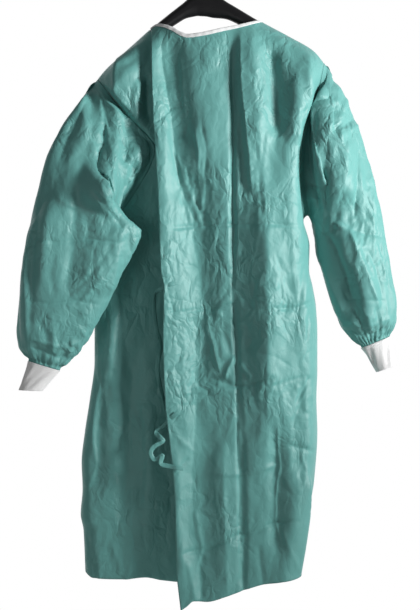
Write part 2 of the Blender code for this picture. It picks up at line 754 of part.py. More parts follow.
def build_sleeves(model):
    left = armhole_ring(
        LEFT_BACK_ARMHOLE, LEFT_FRONT_ARMHOLE, inner_y, front_y, LEFT_TURN, LEFT_PUSH
    )
    right = armhole_ring(
        RIGHT_BACK_ARMHOLE, RIGHT_FRONT_ARMHOLE, outer_y, front_y, RIGHT_TURN, RIGHT_PUSH
    )
    for name, rings, outward in (
        ("sleeve_left", sleeve_rings(left, LEFT_SLEEVE, LEFT_UNDERARM, LEFT_SLEEVE_FOLDS), 1),
        ("sleeve_right", sleeve_rings(right, RIGHT_SLEEVE, RIGHT_UNDERARM, RIGHT_SLEEVE_FOLDS), -1),
    ):
        paint = material(name + "_cloth", (0.18, 0.40, 0.39), 0.62)
        wall(name, rings, True, outward, CLOTH, paint, model)
    for name, rows, middle, outward in (
        ("cuff_left", LEFT_CUFF, LEFT_SLEEVE[-1].middle, 1),
        ("cuff_right", RIGHT_CUFF, RIGHT_SLEEVE[-1].middle, -1),
    ):
        paint = material(name + "_knit", (0.88, 0.88, 0.88), 0.85)
        wall(name, cuff_rings(rows, middle, SEAM_GAP), True, outward, KNIT, paint, model)


def build_ties(model):
    for name, rows in (("tie_upper", UPPER_TIE), ("tie_lower", LOWER_TIE)):
        paint = material(name + "_cloth", (0.22, 0.46, 0.44), 0.62)
        wall(name, ribbon_rows(rows, TIE_WIDTH), False, 1, TIE_WALL, paint, model)


def main():
    for old in list(bpy.data.objects):
        bpy.data.objects.remove(old, do_unlink=True)
    model = bpy.data.collections.new("surgical_gown")
    cutters = bpy.data.collections.new("cutters")
    for group in (model, cutters):
        bpy.context.scene.collection.children.link(group)
    build_hanger(model, cutters)
    build_panels(model)
    build_sleeves(model)
    build_ties(model)


main()
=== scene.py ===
"""Surgical gown of blue-green nonwoven cloth, hung on a black plastic hanger.

The gown's back, with its long lapped opening, faces -Y. The origin is where a rail carries the hook.
Tables are in millimetres, and MM turns them into metres.
"""
import math
from collections import namedtuple

import bmesh
import bpy
import numpy as np
from bpy.props import FloatProperty, FloatVectorProperty, PointerProperty
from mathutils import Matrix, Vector


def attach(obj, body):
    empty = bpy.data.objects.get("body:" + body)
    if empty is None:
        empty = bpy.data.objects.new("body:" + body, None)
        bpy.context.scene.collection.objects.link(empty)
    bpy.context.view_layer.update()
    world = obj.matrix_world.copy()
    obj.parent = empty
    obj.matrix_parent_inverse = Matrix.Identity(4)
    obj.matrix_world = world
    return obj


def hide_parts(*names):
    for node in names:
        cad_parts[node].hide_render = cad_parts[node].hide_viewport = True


bl_info = {
    "name": "Surgical Gown",
    "version": (1, 0, 0),
    "blender": (4, 5, 0),
    "location": "3D View > Sidebar > Gown",
    "description": "Builds a lapped surgical gown on its hanger",
    "category": "Object",
}

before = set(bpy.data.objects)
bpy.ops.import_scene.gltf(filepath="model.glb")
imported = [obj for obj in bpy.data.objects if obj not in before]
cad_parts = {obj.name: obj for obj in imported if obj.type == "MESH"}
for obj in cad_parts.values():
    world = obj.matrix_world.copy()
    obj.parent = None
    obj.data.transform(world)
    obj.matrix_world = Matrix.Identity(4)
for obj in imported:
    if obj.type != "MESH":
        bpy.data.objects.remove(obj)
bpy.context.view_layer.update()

MM = 0.001
SEAM_GAP = 0.3
SEAT_GAP = 1.1
SHOULDER_DROP = 90.0
CREST_FLAT = 0.3
FRONT_ROUND = 50.0
OUTER_ROUND = 42.0
INNER_ROUND = 36.0
OVERLAP_LIFT = 8.0
OVERLAP_END = 14.0
LIFT_FADE = 50.0
INNER_NECK_DROP = 4.0
TAPE_WIDTH = 7.0
RING_STEPS = 24
RUN_ON = 4.0
LOOK_IN = 8.0
LEFT_TURN = (53.0, -99.0)
RIGHT_TURN = (130.0, -75.0)
LEFT_UNDERARM = 1.2 * math.pi
RIGHT_UNDERARM = math.pi
CAMERA_SPOT = (0.0128, -3.04, -0.753)
SENSOR_HEIGHT = 36
# The height that the camera takes in, in metres, at the given distance from it
SEEN_HEIGHT = 1.3054
SEEN_AT = 3.0
LIGHT_SPREAD = 72
FLOOR_RADIUS = 1.1


def table(columns, *rows):
    row = namedtuple("Row", columns)
    return [row(*values) for values in rows]


def fold_lines(columns, *rows):
    """Rows that end in the points of a line over the cloth, as x and z in turn."""
    count = len(columns.split())
    row = namedtuple("Line", columns + " path")
    return [row(*values[:count], np.reshape(values[count:], (-1, 2)).astype(float)) for values in rows]


LEFT_PUSH = table("gap on aside toward middle", (0.9, 12, 16, 30, 9.5))[0]
RIGHT_PUSH = table("gap on aside toward middle", (0.5, 12, 12, 0, 9.5))[0]

# The line over the shoulders where the cloth lies on the hanger's arms
CREST = table(
    "x z",
    (-262, -325), (-243, -286), (-230, -264), (-213, -243), (-187, -219), (-150, -186),
    (-118, -157), (-100, -141), (-46, -98), (-4, -66), (56, -99), (120, -137),
    (185, -172), (236, -202), (259, -229), (272, -250), (290, -285),
)
# Height and thickness of the hanger's arms below that line
HANGER = table(
    "x tall thick",
    (-218, 14, 15), (-210, 24, 22), (-190, 29, 26), (-150, 31, 27), (-100, 31, 27),
    (-46, 36, 26), (-18, 54, 25), (-4, 60, 25), (12, 58, 25), (56, 36, 26), (120, 31, 27),
    (185, 31, 27), (222, 28, 26), (238, 23, 22), (246, 14, 15),
)
# The back neck edge of the lapping panel, and the front neck edge
BACK_NECK = table(
    "x z",
    (-114, -159), (-101, -151), (-86, -154), (-65, -163), (-47, -174), (-35, -178),
    (-3, -174), (34, -165), (81, -153), (105, -145), (122, -138.3),
)
FRONT_NECK = table(
    "x z",
    (-118, -157), (-108, -178), (-85, -208), (-50, -230), (0, -240), (50, -230),
    (88, -206), (112, -172), (122, -138.3),
)
# Side seams below the underarms
LEFT_SIDE = table(
    "z x",
    (-600, -210), (-680, -222), (-735, -232), (-792, -237), (-873, -237), (-956, -247),
    (-1028, -258), (-1094, -265), (-1151, -263), (-1206, -267), (-1240, -261), (-1328, -257),
)
RIGHT_SIDE = table(
    "z x",
    (-575, 215), (-626, 228), (-675, 227), (-715, 235), (-758, 242), (-815, 245),
    (-892, 245), (-956, 243), (-1028, 245), (-1129, 238), (-1186, 229), (-1243, 221),
    (-1322, 209),
)
# Armhole edges from the shoulder tip to the underarm; slack is how far the cloth would still run on
LEFT_BACK_ARMHOLE = table(
    "z x slack",
    (-264, -230, 12), (-313, -193, 25), (-350, -161, 40), (-398, -114, 50), (-414, -104, 55),
    (-450, -112, 60), (-500, -140, 50), (-555, -178, 28), (-600, -210, 0),
)
LEFT_FRONT_ARMHOLE = table(
    "z x slack",
    (-264, -230, 12), (-330, -214, 8), (-400, -202, 7), (-480, -197, 6), (-550, -202, 4),
    (-600, -210, 0),
)
RIGHT_BACK_ARMHOLE = table(
    "z x slack",
    (-229, 259, 12), (-295, 243, 9), (-340, 227, 7), (-379, 215, 7), (-430, 208, 7),
    (-480, 206, 6), (-530, 209, 4), (-575, 215, 0),
)
RIGHT_FRONT_ARMHOLE = table(
    "z x slack",
    (-229, 259, 12), (-300, 240, 9), (-370, 225, 7), (-450, 215, 6), (-520, 212, 4),
    (-575, 215, 0),
)
# Free edge of the lapping panel, and the hidden free edge of the panel under it
OUTER_EDGE = table(
    "z x",
    (-159, -114), (-239, -112), (-304, -110), (-368, -107), (-454, -101), (-535, -97),
    (-586, -95), (-676, -91), (-715, -85), (-822, -87), (-961, -82), (-1053, -72),
    (-1186, -63), (-1301, -59), (-1397, -49),
)
INNER_EDGE = table("z x", (-182, 12), (-600, 14), (-1000, 18), (-1352, 24))
# Hems
OUTER_HEM = table(
    "x z",
    (-49, -1397), (-36, -1388), (-22, -1377), (6, -1379), (49, -1367), (86, -1355),
    (126, -1343), (160, -1338), (189, -1332), (209, -1322),
)
INNER_HEM = table(
    "x z",
    (-257, -1328), (-239, -1338), (-171, -1340), (-125, -1336), (-90, -1342), (24, -1352),
)
FRONT_HEM = table("x z", (-257, -1328), (-150, -1331), (-40, -1328), (90, -1326), (209, -1322))
# How far each layer stands out from the side seams' plane
DEPTH = table(
    "z outer inner front",
    (-60, 50, 44, 45), (-200, 55, 42, 46), (-400, 64, 44, 54), (-450, 66, 42, 58),
    (-520, 68, 33, 62), (-600, 70, 27, 66), (-800, 73, 30, 74), (-1000, 76, 34, 80),
    (-1200, 79, 38, 84), (-1400, 82, 42, 86),
)
# Largest folds, as soft troughs from one end to the other; a negative depth is a ridge
OUTER_FOLDS = table(
    "x_top z_top x_end z_end width depth",
    (60, -160, 62, -760, 6, 5),
    (62, -700, 80, -1040, 6, 4),
    (80, -960, 84, -1460, 8, 6),
    (-72, -130, -30, -480, 24, 11),
    (-16, -340, 4, -1080, 34, 14),
    (6, -900, 2, -1480, 28, 10),
    (-88, -260, -84, -900, 22, -6),
    (102, -130, 122, -480, 24, -12),
    (128, -360, 142, -1080, 32, -13),
    (138, -150, 164, -440, 17, 13),
    (194, -240, 200, -440, 13, -8),
    (150, -960, 158, -1340, 20, 11),
    (206, -800, 202, -1200, 16, 5),
    (-58, -1000, -44, -1400, 16, -7),
    (20, -760, 128, -860, 30, 7),
)
INNER_FOLDS = table(
    "x_top z_top x_end z_end width depth",
    (-166, -240, -150, -330, 22, -6),
    (-126, -250, -118, -380, 12, 10),
    (-182, -730, -216, -960, 13, -9),
    (-206, -770, -238, -1250, 16, 8),
    (-150, -760, -176, -1300, 22, 9),
    (-120, -900, -112, -1340, 20, -7),
)
FRONT_FOLDS = table(
    "x_top z_top x_end z_end width depth",
    (-120, -260, -140, -1330, 26, -12),
    (-30, -320, -24, -1330, 30, 9),
    (60, -300, 84, -1330, 26, -12),
    (150, -320, 156, -1330, 24, 8),
)
# Sleeve sections: outer and inner end, middle in depth, and half depth
LEFT_SLEEVE = table(
    "outer_x outer_z inner_x inner_z middle half",
    (-264, -318, -182, -592, -54, 34),
    (-286, -350, -156, -594, -64, 34),
    (-312, -396, -140, -592, -74, 36),
    (-334, -450, -133, -596, -81, 38),
    (-350, -512, -133, -606, -84, 37),
    (-364, -580, -142, -630, -84, 36),
    (-377, -660, -168, -680, -82, 35),
    (-388, -745, -199, -744, -80, 34),
    (-395, -806, -228, -796, -78, 31),
    (-391, -838, -262, -850, -76, 25),
    (-380, -857, -290, -878, -75, 17),
    (-369, -866.5, -303, -886.5, -74, 13),
    (-371, -871, -305, -891, -74, 13),
)
RIGHT_SLEEVE = table(
    "outer_x outer_z inner_x inner_z middle half",
    (286, -276, 236, -586, 4, 46),
    (306, -312, 240, -612, 4, 50),
    (328, -356, 242, -634, 2, 50),
    (346, -410, 244, -646, 0, 48),
    (362, -470, 247, -656, -2, 46),
    (380, -540, 253, -672, -4, 44),
    (393, -610, 262, -704, -6, 42),
    (404, -680, 276, -750, -8, 38),
    (415, -745, 296, -798, -10, 33),
    (413, -786, 318, -824, -10, 25),
    (407, -804, 331, -836, -10, 17),
    (399.5, -815.4, 338.5, -840.4, -10, 13),
    (401, -820, 340, -845, -10, 13),
)
LEFT_SLEEVE_FOLDS = table(
    "x_top z_top x_end z_end width depth",
    (-214, -470, -186, -560, 44, -26),
    (-190, -600, -240, -760, 34, -12),
    (-236, -380, -262, -640, 26, 10),
    (-300, -470, -330, -760, 26, -9),
    (-330, -820, -262, -852, 14, 6),
)
RIGHT_SLEEVE_FOLDS = table(
    "x_top z_top x_end z_end width depth",
    (272, -330, 318, -560, 34, -10),
    (330, -300, 300, -370, 12, 7),
    (222, -490, 268, -520, 26, 18),
    (262, -566, 322, -640, 16, -8),
    (322, -640, 366, -760, 20, -9),
    (290, -660, 330, -770, 22, 10),
)
# Cuff sections below each wrist seam, as shares of the first one's width and depth
LEFT_CUFF = table(
    "x z reach_x reach_z half",
    (-338, -881.3, 33, 10, 13), (-345, -895, 30, 7, 13), (-356, -914, 27, 3, 13),
    (-367, -933.5, 24, 0.5, 13),
)
RIGHT_CUFF = table(
    "x z reach_x reach_z half",
    (370.6, -833, 30.5, 12.5, 13), (376, -846, 27, 10, 13), (385, -868, 23.5, 8, 13),
    (394, -890, 20.5, 7.5, 13),
)
# Ties: their free run, and how far each stays behind the lapping panel's inner face
UPPER_TIE = table(
    "x z behind",
    (-62, -708, 0.5), (-72, -710, 0.6), (-90, -719, 8), (-103, -731, 14), (-105, -768, 20),
    (-100, -809, 24), (-90, -840, 20), (-96, -864, 14), (-99, -890, 20), (-94, -921, 24),
    (-86, -951, 20), (-78, -988, 16),
)
LOWER_TIE = table(
    "x z behind",
    (-54, -981, 0.5), (-64, -987, 0.6), (-80, -1004, 8), (-92, -1015, 12), (-101, -1023, 10),
    (-92, -1033, 4), (-86, -1041, 2), (-104, -1051, 0), (-112, -1064, -2), (-104, -1078, -4),
    (-88, -1070, -6), (-90, -1086, -8), (-72, -1092, -7), (-43, -1096, -5),
)

# Creases, given one by one: a positive depth is a valley, a negative one a ridge, and crisp runs from 0
# to 1
OUTER_CREASES = fold_lines(
    "width depth crisp",
    (3.0, 4.6, 0.9, 60, -158, 62, -315, 62, -529, 62, -721, 66, -807, 72, -957, 73, -1072, 76,
     -1237, 80, -1367),
    (6, -2.4, 0.5, -49, -212, -43, -304, -39, -379),
    (4, 2.0, 0.9, 111, -374, 116, -482, 124, -580),
    (3.5, -1.8, 0.9, 122, -383, 116, -464, 109, -529),
    (3.5, -1.8, 0.9, 137, -374, 126, -464, 133, -576),
    (3.5, 2.6, 0.9, -68, -404, -56, -454, -36, -524, -13, -588),
    (3, -2.4, 0.9, -60, -413, -43, -469, -19, -541, -6, -593),
    (3, 2.2, 0.9, -39, -439, -24, -499, -6, -559, 0, -593),
    (4, -3.2, 0.8, -21, -370, -11, -422, -9, -496, -4, -559),
    (3.5, 2.2, 0.8, -6, -366, 6, -422, 4, -475),
    (4, 3.0, 0.9, -107, -371, -86, -351, -57, -323),
    (4, 2.8, 0.9, -90, -674, -75, -725, -60, -775),
    (3, -2.0, 0.9, -98, -661, -81, -713, -68, -777),
    (4, 2.4, 0.8, -65, -1114, -47, -1094, -29, -1073),
    (3.5, -1.8, 0.8, -73, -995, -51, -1034, -34, -1055),
    (4, -3.0, 0.8, -16, -1179, -10, -1228, -1, -1269, -13, -1305),
    (4, 2.0, 0.7, -17, -1106, -21, -1171, -13, -1235),
    (4, -3.0, 0.8, 156, -991, 160, -1094, 150, -1158, 152, -1209, 169, -1273),
    (4, 2.4, 0.8, 212, -661, 208, -710, 201, -753),
    (3.5, -2.4, 0.8, 225, -640, 220, -700, 210, -760),
    (4, 4.2, 0.9, -98, -591, -51, -588, -9, -582, 39, -584, 103, -582, 212, -586),
    (3.5, -1.6, 0.9, -96, -597, -34, -593),
    (4, 1.8, 0.8, -92, -674, -56, -666, -9, -672),
    (4, 4.4, 0.9, -83, -770, -34, -766, 21, -755, 66, -753),
    (4, 4.4, 0.9, 116, -768, 141, -764, 199, -758, 242, -743),
    (3, -2.4, 0.95, 17, -760, 43, -781, 66, -802, 116, -766),
    (3, 2.4, 0.95, 66, -702, 43, -734, 17, -760, 66, -753, 73, -725, 111, -768, 146, -768),
    (3, -2.0, 0.95, 79, -734, 81, -762, 116, -766),
    (5, -3.4, 0.4, 6, -760, 9, -807, 21, -850, 32, -897),
    (8, 4.2, 0.3, 39, -790, 47, -828, 60, -867),
    (4, 5.6, 0.9, 2, -899, 39, -914, 60, -924, 86, -924, 116, -916, 154, -907),
    (4, -5.5, 0.9, 64, -862, 51, -888, 43, -910),
    (4, -5.5, 0.95, 73, -875, 86, -892, 101, -910),
    (3.5, 2.4, 0.8, -17, -884, -17, -905, -9, -931),
    (3.5, -3.4, 0.9, -68, -942, -9, -933, 66, -933),
    (3.5, 2.0, 0.9, 98, -935, 158, -920, 223, -901),
    (3, 1.8, 0.8, 111, -854, 146, -862, 184, -884),
    (4, 3.0, 0.8, 225, -901, 210, -935, 193, -965),
    (3, -2.2, 0.8, 231, -905, 229, -944, 235, -974),
    (4, 2.2, 0.9, -81, -965, -39, -965, 0, -961),
    (3.5, -2.0, 0.9, -64, -1021, -30, -1051, -13, -1068),
    (3.5, -4.2, 0.9, 15, -1111, 47, -1111, 77, -1111, 116, -1102, 160, -1089),
    (4, 5.0, 0.9, 175, -1049, 209, -1057, 241, -1066),
    (3, -1.8, 0.9, 203, -1068, 218, -1106),
    (3.5, 2.0, 0.8, 214, -948, 197, -982, 184, -1025),
    (4.5, 5.2, 0.85, -59, -1282, -2, -1270, 39, -1252, 74, -1240, 116, -1230, 152, -1214, 209,
     -1206),
    (3, -2.0, 0.8, 68, -1230, 81, -1248, 79, -1299),
    (7, 3.2, 0.3, 0, -1275, -9, -1320, -4, -1376),
    (6, -3.0, 0.4, -34, -1290, -26, -1342, -17, -1385),
    (8, 2.8, 0.3, 116, -1256, 120, -1299, 124, -1352),
    (5, -2.2, 0.6, 169, -1222, 182, -1267, 197, -1329),
)
INNER_CREASES = fold_lines(
    "width depth crisp",
    (4, 4.0, 0.8, -120, -191, -116, -205, -117, -231, -125, -244, -138, -263, -149, -281, -158,
     -310, -163, -340),
    (7, -4.0, 0.5, -115, -182, -141, -199, -180, -225, -217, -257),
    (8, -5.0, 0.2, -146, -268, -146, -315, -146, -366),
    (6, 4.0, 0.3, -122, -246, -124, -315, -116, -392),
    (4, -3.0, 0.8, -135, -233, -163, -265, -195, -308),
    (4, -2.4, 0.8, -195, -308, -171, -340, -154, -362),
    (5, 3.0, 0.8, -171, -743, -182, -802, -184, -839, -193, -877, -202, -918),
    (5, -3.0, 0.8, -197, -764, -202, -828, -211, -884, -220, -952),
    (5, -3.4, 0.7, -228, -817, -224, -927, -233, -982, -237, -1025, -234, -1100, -253, -1149, -262,
     -1166),
    (5, -2.6, 0.7, -213, -914, -209, -967, -204, -1021),
    (5, 2.4, 0.7, -165, -663, -157, -719, -151, -781),
    (5, 2.4, 0.7, -192, -715, -175, -743, -156, -781),
    (4.5, -2.4, 0.85, -265, -1216, -231, -1222, -193, -1223, -158, -1226, -111, -1233),
    (4, 2.4, 0.8, -88, -1188, -103, -1256, -116, -1312),
    (6, -2.6, 0.5, -156, -1299, -171, -1363),
    (6, 3.0, 0.4, -253, -1235, -240, -1299, -227, -1363),
    (5, -2.2, 0.5, -201, -1256, -184, -1299, -180, -1342),
    (8, 3.2, 0.2, -137, -957, -133, -1064, -141, -1213),
    (4, 2.0, 0.8, -261, -957, -180, -961, -94, -965),
    (4, 2.0, 0.8, -257, -1106, -184, -1111, -86, -1106),
)
FRONT_CREASES = fold_lines(
    "width depth crisp",
    (6, 4.0, 0.8, 2, -422, 0, -657, 4, -914, 0, -1171, 2, -1342),
    (12, -4.0, 0.2, 60, -336, 68, -614, 77, -957, 86, -1299),
    (12, 4.2, 0.2, 120, -293, 128, -571, 124, -914, 137, -1299),
    (11, -3.4, 0.2, -60, -336, -68, -614, -77, -957, -94, -1299),
    (12, 4.0, 0.2, -124, -315, -128, -593, -141, -957, -163, -1299),
    (8, -2.8, 0.4, -184, -422, -188, -743, -201, -1106, -214, -1320),
    (8, -2.8, 0.4, 180, -400, 184, -700, 188, -1085, 180, -1299),
    (4.5, 2.8, 0.9, -197, -588, -94, -584, 0, -588, 98, -582, 205, -591),
    (4.5, 2.8, 0.9, -231, -770, -116, -764, 0, -768, 120, -762, 231, -773),
    (4.5, 2.8, 0.9, -244, -961, -116, -957, 0, -963, 124, -954, 231, -965),
    (4.5, 2.8, 0.9, -253, -1106, -137, -1111, 0, -1106, 124, -1113, 231, -1102),
    (4.5, 3.0, 0.85, -257, -1256, -137, -1263, 0, -1252, 120, -1258, 205, -1248),
    (3, -2.2, 0.9, -34, -738, 0, -773, 39, -743),
    (3, 2.2, 0.9, -39, -802, 0, -768, 43, -807),
    (3, -2.2, 0.9, -30, -927, 2, -961, 34, -931),
    (3, 2.2, 0.9, -30, -999, 0, -965, 39, -995),
    (3.5, 2.4, 0.8, -163, -422, -137, -507, -116, -576),
    (3.5, -2.4, 0.8, 175, -400, 141, -490, 124, -576),
    (3.5, 2.4, 0.8, 77, -614, 124, -661, 163, -743),
    (3.5, -2.2, 0.8, -116, -807, -146, -862, -163, -939),
    (3.5, 2.2, 0.8, 124, -999, 150, -1055, 163, -1098),
    (3.5, -2.2, 0.8, -180, -1128, -146, -1183, -116, -1239),
)
LEFT_SLEEVE_CREASES = fold_lines(
    "width depth crisp",
    (4, 3.0, 0.8, -214, -357, -195, -387, -175, -415, -156, -443),
    (4, -3.0, 0.8, -220, -353, -205, -400, -197, -439, -178, -456),
    (4, 3.4, 0.8, -195, -351, -186, -379, -167, -422, -158, -443),
    (4, -2.6, 0.8, -216, -372, -205, -392, -195, -415),
    (3.5, 2.6, 0.9, -218, -422, -205, -409, -188, -415),
    (6, -3.4, 0.5, -225, -289, -227, -336, -229, -389, -223, -443),
    (7, 3.6, 0.4, -240, -297, -244, -357, -235, -422),
    (7, 9.0, 0.3, -184, -443, -163, -445, -146, -460, -137, -490, -135, -537),
    (5, -4.4, 0.6, -178, -441, -171, -469, -156, -490, -143, -520),
    (4, -2.6, 0.8, -205, -464, -208, -507, -201, -541),
    (3, 2.0, 0.9, -205, -482, -184, -477, -165, -486),
    (3, -1.8, 0.9, -208, -499, -184, -494, -163, -501),
    (3.5, 3.4, 0.9, -229, -514, -210, -537, -190, -565, -169, -601),
    (3.5, -3.0, 0.9, -223, -507, -201, -541, -180, -576),
    (10, 4.2, 0.2, -253, -486, -270, -571, -282, -661, -287, -743),
    (10, -4.4, 0.2, -295, -422, -317, -507, -330, -614, -334, -743),
    (9, -4.6, 0.3, -360, -571, -370, -661, -379, -764, -379, -841),
    (7, 3.6, 0.3, -338, -507, -347, -614, -357, -743, -360, -828),
    (4, 2.6, 0.85, -364, -610, -308, -623, -240, -614, -167, -627),
    (4, 2.6, 0.85, -377, -743, -325, -751, -257, -743, -210, -755),
    (3.5, -2.4, 0.85, -312, -520, -287, -541, -253, -554),
    (4, 3.0, 0.8, -184, -614, -214, -661, -248, -704, -287, -734),
    (4, -2.8, 0.8, -197, -678, -231, -717, -265, -755),
    (4, 2.8, 0.8, -308, -636, -317, -691, -308, -738),
    (3.5, -2.6, 0.8, -278, -623, -287, -661, -304, -708),
    (6, 4.4, 0.5, -372, -841, -342, -850, -312, -862, -278, -862),
    (5, -3.6, 0.5, -364, -824, -330, -832, -295, -841, -257, -824),
    (4, 3.0, 0.8, -342, -781, -330, -815, -330, -854),
    (4, 3.0, 0.8, -300, -781, -300, -815, -308, -858),
    (4, -2.8, 0.8, -317, -768, -315, -815, -319, -858),
    (4, -2.6, 0.8, -261, -790, -274, -824, -287, -862),
)
LEFT_SLEEVE_FRONT_CREASES = fold_lines(
    "width depth crisp",
    (9, -4.4, 0.3, -342, -507, -351, -614, -360, -743, -355, -828),
    (10, 4.4, 0.3, -300, -443, -312, -571, -321, -700, -325, -828),
    (9, -4.0, 0.3, -244, -422, -261, -550, -278, -678, -295, -807),
    (5, 3.4, 0.7, -201, -400, -214, -486, -197, -571),
    (4, 2.6, 0.85, -364, -610, -308, -623, -240, -614, -167, -627),
    (4, 2.6, 0.85, -377, -743, -325, -751, -257, -743, -210, -755),
    (4, -2.8, 0.8, -184, -593, -223, -661, -248, -704),
    (6, 4.4, 0.5, -372, -841, -342, -850, -312, -862, -278, -862),
    (4, 3.0, 0.8, -330, -781, -325, -815, -330, -854),
)
RIGHT_SLEEVE_CREASES = fold_lines(
    "width depth crisp",
    (5, 4.4, 0.85, 327, -345, 304, -366, 280, -387, 261, -396),
    (4, -3.4, 0.8, 334, -362, 308, -383, 282, -404),
    (3.5, 3.0, 0.9, 244, -325, 261, -310, 278, -306),
    (3.5, -2.6, 0.9, 248, -340, 270, -327, 287, -315),
    (4, 3.6, 0.85, 233, -293, 227, -353, 225, -411, 229, -469),
    (4, -3.0, 0.85, 210, -383, 225, -413, 244, -426, 270, -422),
    (3.5, 2.6, 0.9, 225, -413, 240, -439, 253, -473),
    (5, 4.6, 0.8, 336, -400, 330, -443, 327, -482, 323, -537, 323, -588),
    (12, -5.6, 0.2, 300, -400, 302, -464, 300, -529),
    (6, 4.2, 0.5, 265, -400, 272, -456, 278, -520),
    (9, -4.2, 0.3, 360, -422, 364, -507, 360, -593),
    (3.5, 3.0, 0.85, 312, -593, 338, -599, 389, -608),
    (3.5, 2.6, 0.85, 248, -597, 278, -591, 312, -593),
    (6, -6.0, 0.6, 257, -567, 287, -584, 306, -597, 317, -625, 334, -661, 360, -721, 377, -768),
    (5, 5.0, 0.6, 188, -492, 227, -494, 265, -499, 272, -533),
    (5, -3.6, 0.7, 205, -520, 240, -524, 270, -541),
    (5, 4.6, 0.5, 253, -588, 282, -627, 304, -683, 321, -743),
    (5, -3.4, 0.7, 253, -661, 282, -725, 304, -777),
    (3.5, 2.6, 0.85, 274, -700, 317, -691, 368, -700),
    (3.5, 2.6, 0.85, 300, -743, 338, -738, 394, -747),
    (4, 3.2, 0.8, 347, -631, 368, -683, 385, -743),
    (3.5, -2.8, 0.8, 364, -614, 381, -661, 394, -713),
    (4, 3.4, 0.8, 317, -755, 334, -785, 347, -824),
    (4, -3.0, 0.8, 338, -751, 351, -785, 364, -820),
    (4, 3.0, 0.8, 364, -755, 372, -785, 381, -815),
    (5, 3.8, 0.5, 304, -802, 334, -820, 364, -815, 398, -802),
    (5, -3.2, 0.5, 300, -781, 334, -798, 368, -794, 407, -777),
    (7, 4.0, 0.3, 282, -255, 270, -289, 261, -323),
    (8, -4.0, 0.3, 304, -306, 291, -340, 282, -370),
)
RIGHT_SLEEVE_FRONT_CREASES = fold_lines(
    "width depth crisp",
    (10, -4.6, 0.3, 291, -293, 312, -400, 334, -529, 347, -678),
    (9, 4.4, 0.3, 325, -336, 355, -464, 377, -593, 389, -743),
    (8, 4.0, 0.4, 248, -336, 265, -464, 287, -593, 312, -743),
    (5, -3.4, 0.7, 227, -422, 253, -507, 274, -614),
    (3.5, 3.0, 0.85, 231, -588, 278, -591, 338, -599, 389, -608),
    (3.5, 2.6, 0.85, 278, -743, 338, -738, 411, -747),
    (4, 3.4, 0.8, 325, -755, 338, -785, 351, -824),
    (5, 3.8, 0.5, 304, -802, 334, -820, 364, -815, 398, -802),
)
# Broad waves: how far each ridge falls away to its left and right, its height and its line
OUTER_WAVES = fold_lines(
    "left right height",
    (40, 48, -13, -94, -152, -83, -250, -64, -357, -54, -454, -39, -554),
    (84, 124, -13, -60, -379, -45, -507, -17, -625, -4, -743, -13, -828, -15, -999, -26, -1171, -34,
     -1363),
    (72, 84, 11, 124, -507, 133, -614, 137, -743, 135, -871, 133, -1021, 124, -1141),
    (16, 46, 12, 77, -156, 81, -272, 92, -379, 103, -541),
    (74, 26, 12, 223, -173, 223, -357, 214, -486, 197, -636),
    (70, 80, 3, 4, -156, -2, -272, 4, -379, 11, -482),
    (62, 34, 8, 41, -1025, 43, -1171, 47, -1299, 51, -1410),
    (110, 12, 14, 218, -1085, 214, -1256, 205, -1393),
)
INNER_WAVES = fold_lines(
    "left right height",
    (38, 78, 26, -175, -165, -184, -272, -190, -340, -182, -426),
)
LEFT_SLEEVE_WAVES = fold_lines(
    "left right height",
    (104, 20, 22, -210, -272, -182, -357, -188, -443, -197, -507, -197, -567),
    (20, 110, 15, -330, -529, -355, -614, -368, -700, -368, -862),
    (84, 16, 8, -171, -576, -178, -636, -201, -743),
    (26, 32, -8, -235, -285, -265, -353, -295, -422, -312, -486, -325, -563),
)
RIGHT_SLEEVE_WAVES = fold_lines(
    "left right height",
    (26, 92, 36, 244, -242, 250, -357, 255, -443, 268, -559),
    (84, 56, 15, 312, -580, 325, -661, 345, -743, 360, -820),
)
# Places where the cloth is crumpled more than elsewhere
OUTER_CRUMPLES = table(
    "x z reach_x reach_z strength",
    (-19, -897, 44, 40, 1.5), (141, -931, 60, 30, 1.4), (167, -760, 38, 26, 1.4),
    (150, -710, 34, 50, 1.2), (-17, -518, 36, 90, 1.3), (116, -482, 20, 100, 1.3),
    (205, -957, 36, 60, 0.8), (-60, -636, 32, 36, 0.8), (77, -1042, 60, 60, 0.4),
    (197, -1106, 30, 60, 0.4), (68, -910, 30, 24, 1.2), (13, -828, 30, 40, 0.8),
)
INNER_CRUMPLES = table(
    "x z reach_x reach_z strength",
    (-205, -892, 50, 80, 1.0), (-180, -1299, 60, 50, 0.6), (-154, -315, 40, 60, 0.4),
)
FRONT_CRUMPLES = table(
    "x z reach_x reach_z strength",
    (-94, -828, 70, 80, 1.2), (98, -914, 70, 90, 1.2), (0, -614, 90, 60, 0.8),
)
LEFT_SLEEVE_CRUMPLES = table(
    "x z reach_x reach_z strength",
    (-186, -494, 36, 50, 2.0), (-197, -422, 40, 60, 1.2), (-304, -661, 70, 80, 1.2),
    (-325, -841, 90, 40, 1.8), (-214, -636, 40, 60, 1.0),
)
RIGHT_SLEEVE_CRUMPLES = table(
    "x z reach_x reach_z strength",
    (240, -357, 50, 70, 1.4), (312, -636, 50, 70, 1.4), (360, -807, 60, 40, 1.8),
    (270, -529, 40, 50, 1.2), (342, -529, 30, 70, 1.0),
)


